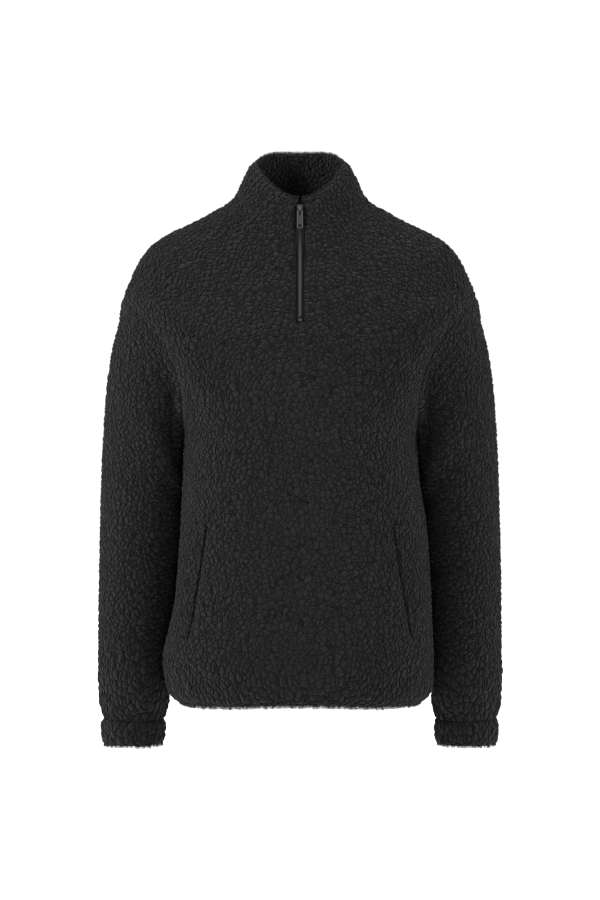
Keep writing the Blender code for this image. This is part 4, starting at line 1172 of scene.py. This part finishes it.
def roundedBlock(centre, axes, sizes, corner):
    # a block with cut corners: four rings and two caps
    rings = []
    wide, deep, tall = (s / 2 for s in sizes)
    for z, draw in ((-tall, corner), (-tall + corner, 0), (tall - corner, 0), (tall, corner)):
        w, d = wide - draw, deep - draw
        c = corner
        outline = [(w - c, -d), (w, -d + c), (w, d - c), (w - c, d),
                   (-w + c, d), (-w, d - c), (-w, -d + c), (-w + c, -d)]
        rings.append(np.array([centre + axes[0] * x + axes[1] * y + axes[2] * z for x, y in outline]))
    return roundedBar(rings)


def joinParts(parts):
    points, faces, start = [], [], 0
    for more, moreFaces in parts:
        points.append(more)
        faces += [[v + start for v in face] for face in moreFaces]
        start += len(more)
    return np.concatenate(points), faces


def teethPiece():
    parts = []
    stop = zipEnd - zipper["stopLong"] - zipper["stopGap"]
    count = int((stop - zipper["firstTooth"]) / (zipper["pitch"] / 2))
    across = np.array([1.0, 0, 0])
    for k in range(count):
        side = left if k % 2 else right
        point, down, out = zipPlace(zipper["firstTooth"] + k * zipper["pitch"] / 2)
        centre = point + across * side * zipper["toothFromMiddle"] - out * zipper["toothDepth"]
        lean = unit(across + zipper["toothLean"] * side * down)
        slope = unit(out - zipper["toothTilt"] * down)
        slope = unit(slope - lean * (slope @ lean))
        sizes = (zipper["toothWide"], zipper["toothThick"], zipper["toothLong"])
        parts.append(roundedBlock(centre, (lean, slope, np.cross(lean, slope)), sizes, zipper["toothCorner"]))
    toothFaces = sum(len(faces) for _, faces in parts)
    # a flat cord under the teeth, where the two rows lock
    half, low = zipper["cordHalf"], zipper["cordDepth"]
    deepest = low + zipper["cordThick"]
    sections = []
    for at in np.arange(zipper["start"], stop, 2.0):
        point, _, out = zipPlace(at)
        sections.append(np.array([point + [x, 0, 0] - out * deep for x, deep in (
            (-half, low), (half, low), (half, deepest), (-half, deepest))]))
    parts.append(roundedBar(sections))
    points, faces = joinParts(parts)
    cord = [0] * toothFaces + [1] * (len(faces) - toothFaces)
    zipPart("zip_teeth", "zip_chain", points, faces, [teethFinish, zipTape], cord)


def stopPiece():
    point, down, out = zipPlace(zipEnd - zipper["stopLong"] / 2)
    sizes = (zipper["stopWide"], zipper["stopThick"], zipper["stopLong"])
    centre = point - out * zipper["stopDepth"]
    points, faces = roundedBlock(centre, (np.array([1.0, 0, 0]), out, down), sizes, zipper["stopCorner"])
    zipPart("zip_bottom_stop", "bottom_stop", points, faces, [zipMetal])


print("making the zip")
for side in (left, right):
    tapePiece(side)
teethPiece()
stopPiece()

# Slider and pull tab, in the zip's own frame: X across, Y out of the cloth, Z up the zip.
slider = {
    "start": 9.7, "long": 10.0, "plateLong": 8.4, "wide": 7.4, "footWide": 4.2, "plate": 1.3, "under": -0.3,
    "bridgeWide": 2.0, "bridgeThick": 1.1, "bridgeRise": 3.6, "bridgeLong": 8.4, "edge": 0.32, "sharp": 35,
}
tab = {
    "topWide": 6.3, "footWide": 7.3, "long": 25.0, "thick": 1.2, "corner": 1.6, "bar": 1.5,
    "windowWide": 4.0, "windowLong": 6.2, "windowCorner": 0.5, "edge": 0.3,
    "eyeWide": 4.6, "eyeLong": 3.4, "eyeUp": 2.2, "eyeCorner": 1.2, "fromBridgeEnd": 1.5,
}
sliderPoint, sliderDown, sliderOut = zipPlace(slider["start"] + slider["long"] / 2)
hardAxes = (np.array([-1.0, 0, 0]), sliderOut, -sliderDown)


def fromZip(points, origin):
    return np.array([origin + sum(axis * value for axis, value in zip(hardAxes, p)) for p in points])


def outlineSolid(outline, low, high, edge):
    # a plate with cut edges, from an outline of x and z
    outline = np.array(outline, float)
    middle = outline.mean(axis=0)
    drawn = middle + (outline - middle) * (1 - edge / np.abs(outline - middle).max())
    rings = []
    for y, ring in ((low, drawn), (low + edge, outline), (high - edge, outline), (high, drawn)):
        rings.append(np.array([(x, y, z) for x, z in ring]))
    return roundedBar(rings)


def sliderPiece():
    half, foot, long = slider["wide"] / 2, slider["footWide"] / 2, slider["long"] / 2
    low = long - slider["plateLong"]
    shield = [(-half * 0.8, long), (-half, long * 0.84), (-half * 0.9, long * 0.3), (-foot, low * 0.5),
              (-foot * 0.85, low), (foot * 0.85, low), (foot, low * 0.5), (half * 0.9, long * 0.3),
              (half, long * 0.84), (half * 0.8, long)]
    top = slider["under"] + slider["plate"]
    parts = [outlineSolid(shield, slider["under"], top, slider["edge"])]
    painted = len(parts[0][1])
    # the bridge, swept over an arch
    sections = []
    reach, rise = slider["bridgeLong"] / 2, slider["bridgeRise"]
    for angle in np.linspace(0, math.pi, 15):
        z = -reach * math.cos(angle) * 0.94
        y = top - 0.3 + (rise - 0.2) * min(math.sin(angle) ** 0.42, 1)
        way = unit(np.array([0, math.cos(angle) ** 3, math.sin(angle)]))
        normal = np.array([0, way[2], -way[1]])
        wide, thick = slider["bridgeWide"] / 2, slider["bridgeThick"] / 2
        sections.append(np.array([np.array([x, y, z]) + normal * n for x, n in (
            (-wide, -thick), (-wide * 0.9, thick * 0.6), (-wide * 0.5, thick), (wide * 0.5, thick),
            (wide * 0.9, thick * 0.6), (wide, -thick))]))
    parts.append(roundedBar(sections))
    points, faces = joinParts(parts)
    metals = [1] * painted + [0] * (len(faces) - painted)
    zipPart("zip_slider", "slider", fromZip(points, sliderPoint), faces, [zipMetal, sliderPaint], metals,
            sharp=slider["sharp"])


def roundedOutline(halfTop, halfFoot, top, foot, corner, steps=6):
    corners = [(halfTop, top, 0), (-halfTop, top, 90), (-halfFoot, foot, 180), (halfFoot, foot, 270)]
    outline = []
    for x, z, turn in corners:
        centre = (x - math.copysign(corner, x), z - math.copysign(corner, 1 if turn < 180 else -1))
        for k in range(steps + 1):
            a = math.radians(turn + 90 * k / steps)
            outline.append((centre[0] + corner * math.cos(a), centre[1] + corner * math.sin(a)))
    return outline


def tabPiece():
    bar = tab["bar"] / 2
    foot = bar - tab["long"]
    outer = roundedOutline(tab["topWide"] / 2, tab["footWide"] / 2, bar, foot, tab["corner"])
    half = tab["windowWide"] / 2
    window = roundedOutline(half, half, -bar, -bar - tab["windowLong"], tab["windowCorner"])
    half, eyeFoot = tab["eyeWide"] / 2, foot + tab["eyeUp"]
    eye = roundedOutline(half, half, eyeFoot + tab["eyeLong"], eyeFoot, tab["eyeCorner"])
    plate = bpy.data.curves.new("tabOutline", "CURVE")
    plate.dimensions = "2D"
    plate.fill_mode = "BOTH"
    plate.extrude = tab["thick"] / 2 - tab["edge"]
    plate.bevel_depth = tab["edge"]
    plate.bevel_resolution = 2
    plate.offset = -tab["edge"]
    for outline in (outer, window, eye):
        line = plate.splines.new("POLY")
        line.points.add(len(outline) - 1)
        for point, (x, z) in zip(line.points, outline):
            point.co = (x, z, 0, 1)
        line.use_cyclic_u = True
    shape = bpy.data.objects.new("tabOutline", plate)
    bpy.context.scene.collection.objects.link(shape)
    flat = bpy.data.meshes.new_from_object(shape.evaluated_get(bpy.context.evaluated_depsgraph_get()))
    bpy.data.objects.remove(shape)
    points = np.array([v.co[:] for v in flat.vertices])[:, [0, 2, 1]]
    faces = [list(p.vertices) for p in flat.polygons]
    top = slider["under"] + slider["plate"]
    room = slider["bridgeRise"] - slider["bridgeThick"]
    up = -slider["bridgeLong"] / 2 + tab["fromBridgeEnd"] + bar
    origin = sliderPoint + sliderOut * (top + room / 2) - sliderDown * up
    zipPart("pull_tab_metal", "pull_tab", fromZip(points, origin), faces, [zipMetal], body="pull_tab",
            sharp=slider["sharp"])


sliderPiece()
tabPiece()

# Loose fibres that stand off the pile, and the longer fringe of them along the free edges.
# Each is two faces that narrow to a tip.
fuzz = {
    "wide": 0.18, "short": 1.6, "long": 3.4, "lean": (0.35, 1.6), "root": 0.5,
    "edgeWide": 0.18, "edgeShort": 3.4, "edgeLong": 8.4, "edgeLean": (1.2, 3.0), "edgeSpread": 0.55,
}


def fuzzPiece(name, panel, count, edgeCount=0, edgeRow=0, reach=1.0):
    # fibres at random over a panel, and more along one of its rows, that reach a share of their length
    grid, ways = panel["outer"], panel["wallWay"]
    rows, columns = grid.shape[:2]
    last = columns if panel["closed"] else columns - 1
    i = random.integers(0, rows - 1, count)
    j = random.integers(0, last, count)
    keep = np.ones(count, bool)
    for r0, r1, c0, c1 in panel.get("holes", []):
        keep &= ~((i >= r0) & (i < r1) & (j >= c0) & (j < c1))
    i, j = i[keep], j[keep]
    longs = random.uniform(fuzz["short"], fuzz["long"], len(i)) * random.uniform(0.5, 1, len(i))
    if edgeCount:
        i = np.concatenate([i, np.full(edgeCount, edgeRow)])
        j = np.concatenate([j, random.integers(0, last, edgeCount)])
        edgeLongs = reach * random.uniform(fuzz["edgeShort"], fuzz["edgeLong"], edgeCount)
        longs = np.concatenate([longs, edgeLongs])
    total = len(i)
    share = random.uniform(0, 1, (total, 1))
    roots = grid[i, j] * share + grid[i, (j + 1) % columns] * (1 - share)
    out = ways[i, j]
    tangent = unit(np.cross(out, random.normal(size=(total, 3))))
    lean = random.uniform(*fuzz["lean"], (total, 1))
    down = np.array([0, 0, -1.0])
    isEdge = (np.arange(total) >= total - edgeCount)[:, None]
    if edgeCount:  # the fringe hangs over the edge
        lowEdge = grid[edgeRow, :, 2].mean() < grid[:, :, 2].mean()
        over = down if lowEdge else -down
        tangent = np.where(isEdge, unit(tangent * fuzz["edgeSpread"] + over), tangent)
        lean = np.where(isEdge, random.uniform(*fuzz["edgeLean"], (total, 1)), lean)
    way = unit(out + lean * tangent)
    curl = unit(np.cross(way, random.normal(size=(total, 3))))
    size = longs[:, None]
    middle = roots + way * size * 0.55 + curl * size * 0.10
    tip = roots + way * size * 0.85 + curl * size * random.uniform(0.1, 0.45, (total, 1))
    flat = unit(np.cross(way, curl)) * np.where(isEdge, fuzz["edgeWide"], fuzz["wide"]) / 2
    roots = roots - out * fuzz["root"]
    points = np.stack([roots - flat, roots + flat, middle + flat * 0.8, middle - flat * 0.8, tip], axis=1)
    points = points.reshape(-1, 3)
    starts = np.arange(total)[:, None] * 5
    quads = (starts + np.array([0, 1, 2, 3])).tolist()
    tips = (starts + np.array([3, 2, 4])).tolist()
    return meshPiece(name, points, quads + tips, [looseFibre], closed=False)


print("adding loose fibres")
fibres = {
    "front": fuzzPiece("front_fibres", panels["front"], 9000, 10500, 0),
    "back": fuzzPiece("back_fibres", panels["back"], 9000, 10500, 0),
    "sleeve_left": fuzzPiece("sleeve_left_fibres", panels["sleeve_left"], 6500),
    "sleeve_right": fuzzPiece("sleeve_right_fibres", panels["sleeve_right"], 6500),
    "collar": fuzzPiece("collar_fibres", panels["collar"], 2500, 7000, -1, 0.62),
}
for name, panel in cuffs.items():
    footRow = int(panel["outer"][:, :, 2].mean(axis=1).argmin())
    fibres[name] = fuzzPiece(name + "_fibres", panel, 1300, 3600, footRow, 0.7)

# Studio: pale floor, soft lights, and the camera at the photo's angle.
studio = {
    "floorZ": -0.96, "floorSize": 40.0, "floorPale": (0.93, 0.95), "world": 1.1,
    "aimZ": -0.322, "elevation": 3.0, "distance": 3.4, "frameTall": 1.170, "sensor": 36,
}
lights = table(
    "x y z size power",
    [(-3.05, -1.55, 1.75, 1.1, 320), (3.40, -1.45, 1.00, 1.8, 195), (0.4, 2.6, 2.2, 2.0, 60)],
)


def makeStudio():
    floorMesh = bpy.data.meshes.new("floor")
    half = studio["floorSize"] / 2
    corners = [(-half, -half), (half, -half), (half, half), (-half, half)]
    floorMesh.from_pydata([(x, y, studio["floorZ"]) for x, y in corners], [], [[0, 1, 2, 3]])
    floor = bpy.data.objects.new("floor", floorMesh)
    bpy.context.scene.collection.objects.link(floor)
    made, nodes, links, shader = newFinish("paleFloor", 0.9)
    grain = noiseNode(nodes, links, objectCoords(nodes, links), 6, 3)
    links.new(rangeNode(nodes, links, grain, 0.3, 0.7, *studio["floorPale"]), shader.inputs["Base Color"])
    floorMesh.materials.append(made)
    world = bpy.data.worlds.new("studio")
    world.use_nodes = True
    sky = world.node_tree.nodes["Background"]
    sky.inputs["Color"].default_value = (1, 1, 1, 1)
    sky.inputs["Strength"].default_value = studio["world"]
    bpy.context.scene.world = world
    aim = Vector((0, 0, studio["aimZ"]))
    for k in range(len(lights["x"])):
        lamp = bpy.data.lights.new("softbox", "AREA")
        lamp.shape = "DISK"
        lamp.size, lamp.energy = lights["size"][k], lights["power"][k]
        holder = bpy.data.objects.new("softbox", lamp)
        holder.location = (lights["x"][k], lights["y"][k], lights["z"][k])
        holder.rotation_euler = (aim - holder.location).to_track_quat("-Z", "Y").to_euler()
        bpy.context.scene.collection.objects.link(holder)
    tilt = math.radians(studio["elevation"])
    lens = bpy.data.cameras.new("camera")
    lens.sensor_fit = "VERTICAL"
    lens.sensor_height = studio["sensor"]
    lens.lens = studio["sensor"] * studio["distance"] / studio["frameTall"]
    camera = bpy.data.objects.new("camera", lens)
    camera.location = aim + Vector((0, -math.cos(tilt), math.sin(tilt))) * studio["distance"]
    camera.rotation_euler = (aim - camera.location).to_track_quat("-Z", "Y").to_euler()
    bpy.context.scene.collection.objects.link(camera)
    bpy.context.scene.camera = camera
    bpy.context.scene.view_settings.view_transform = "Standard"


makeStudio()
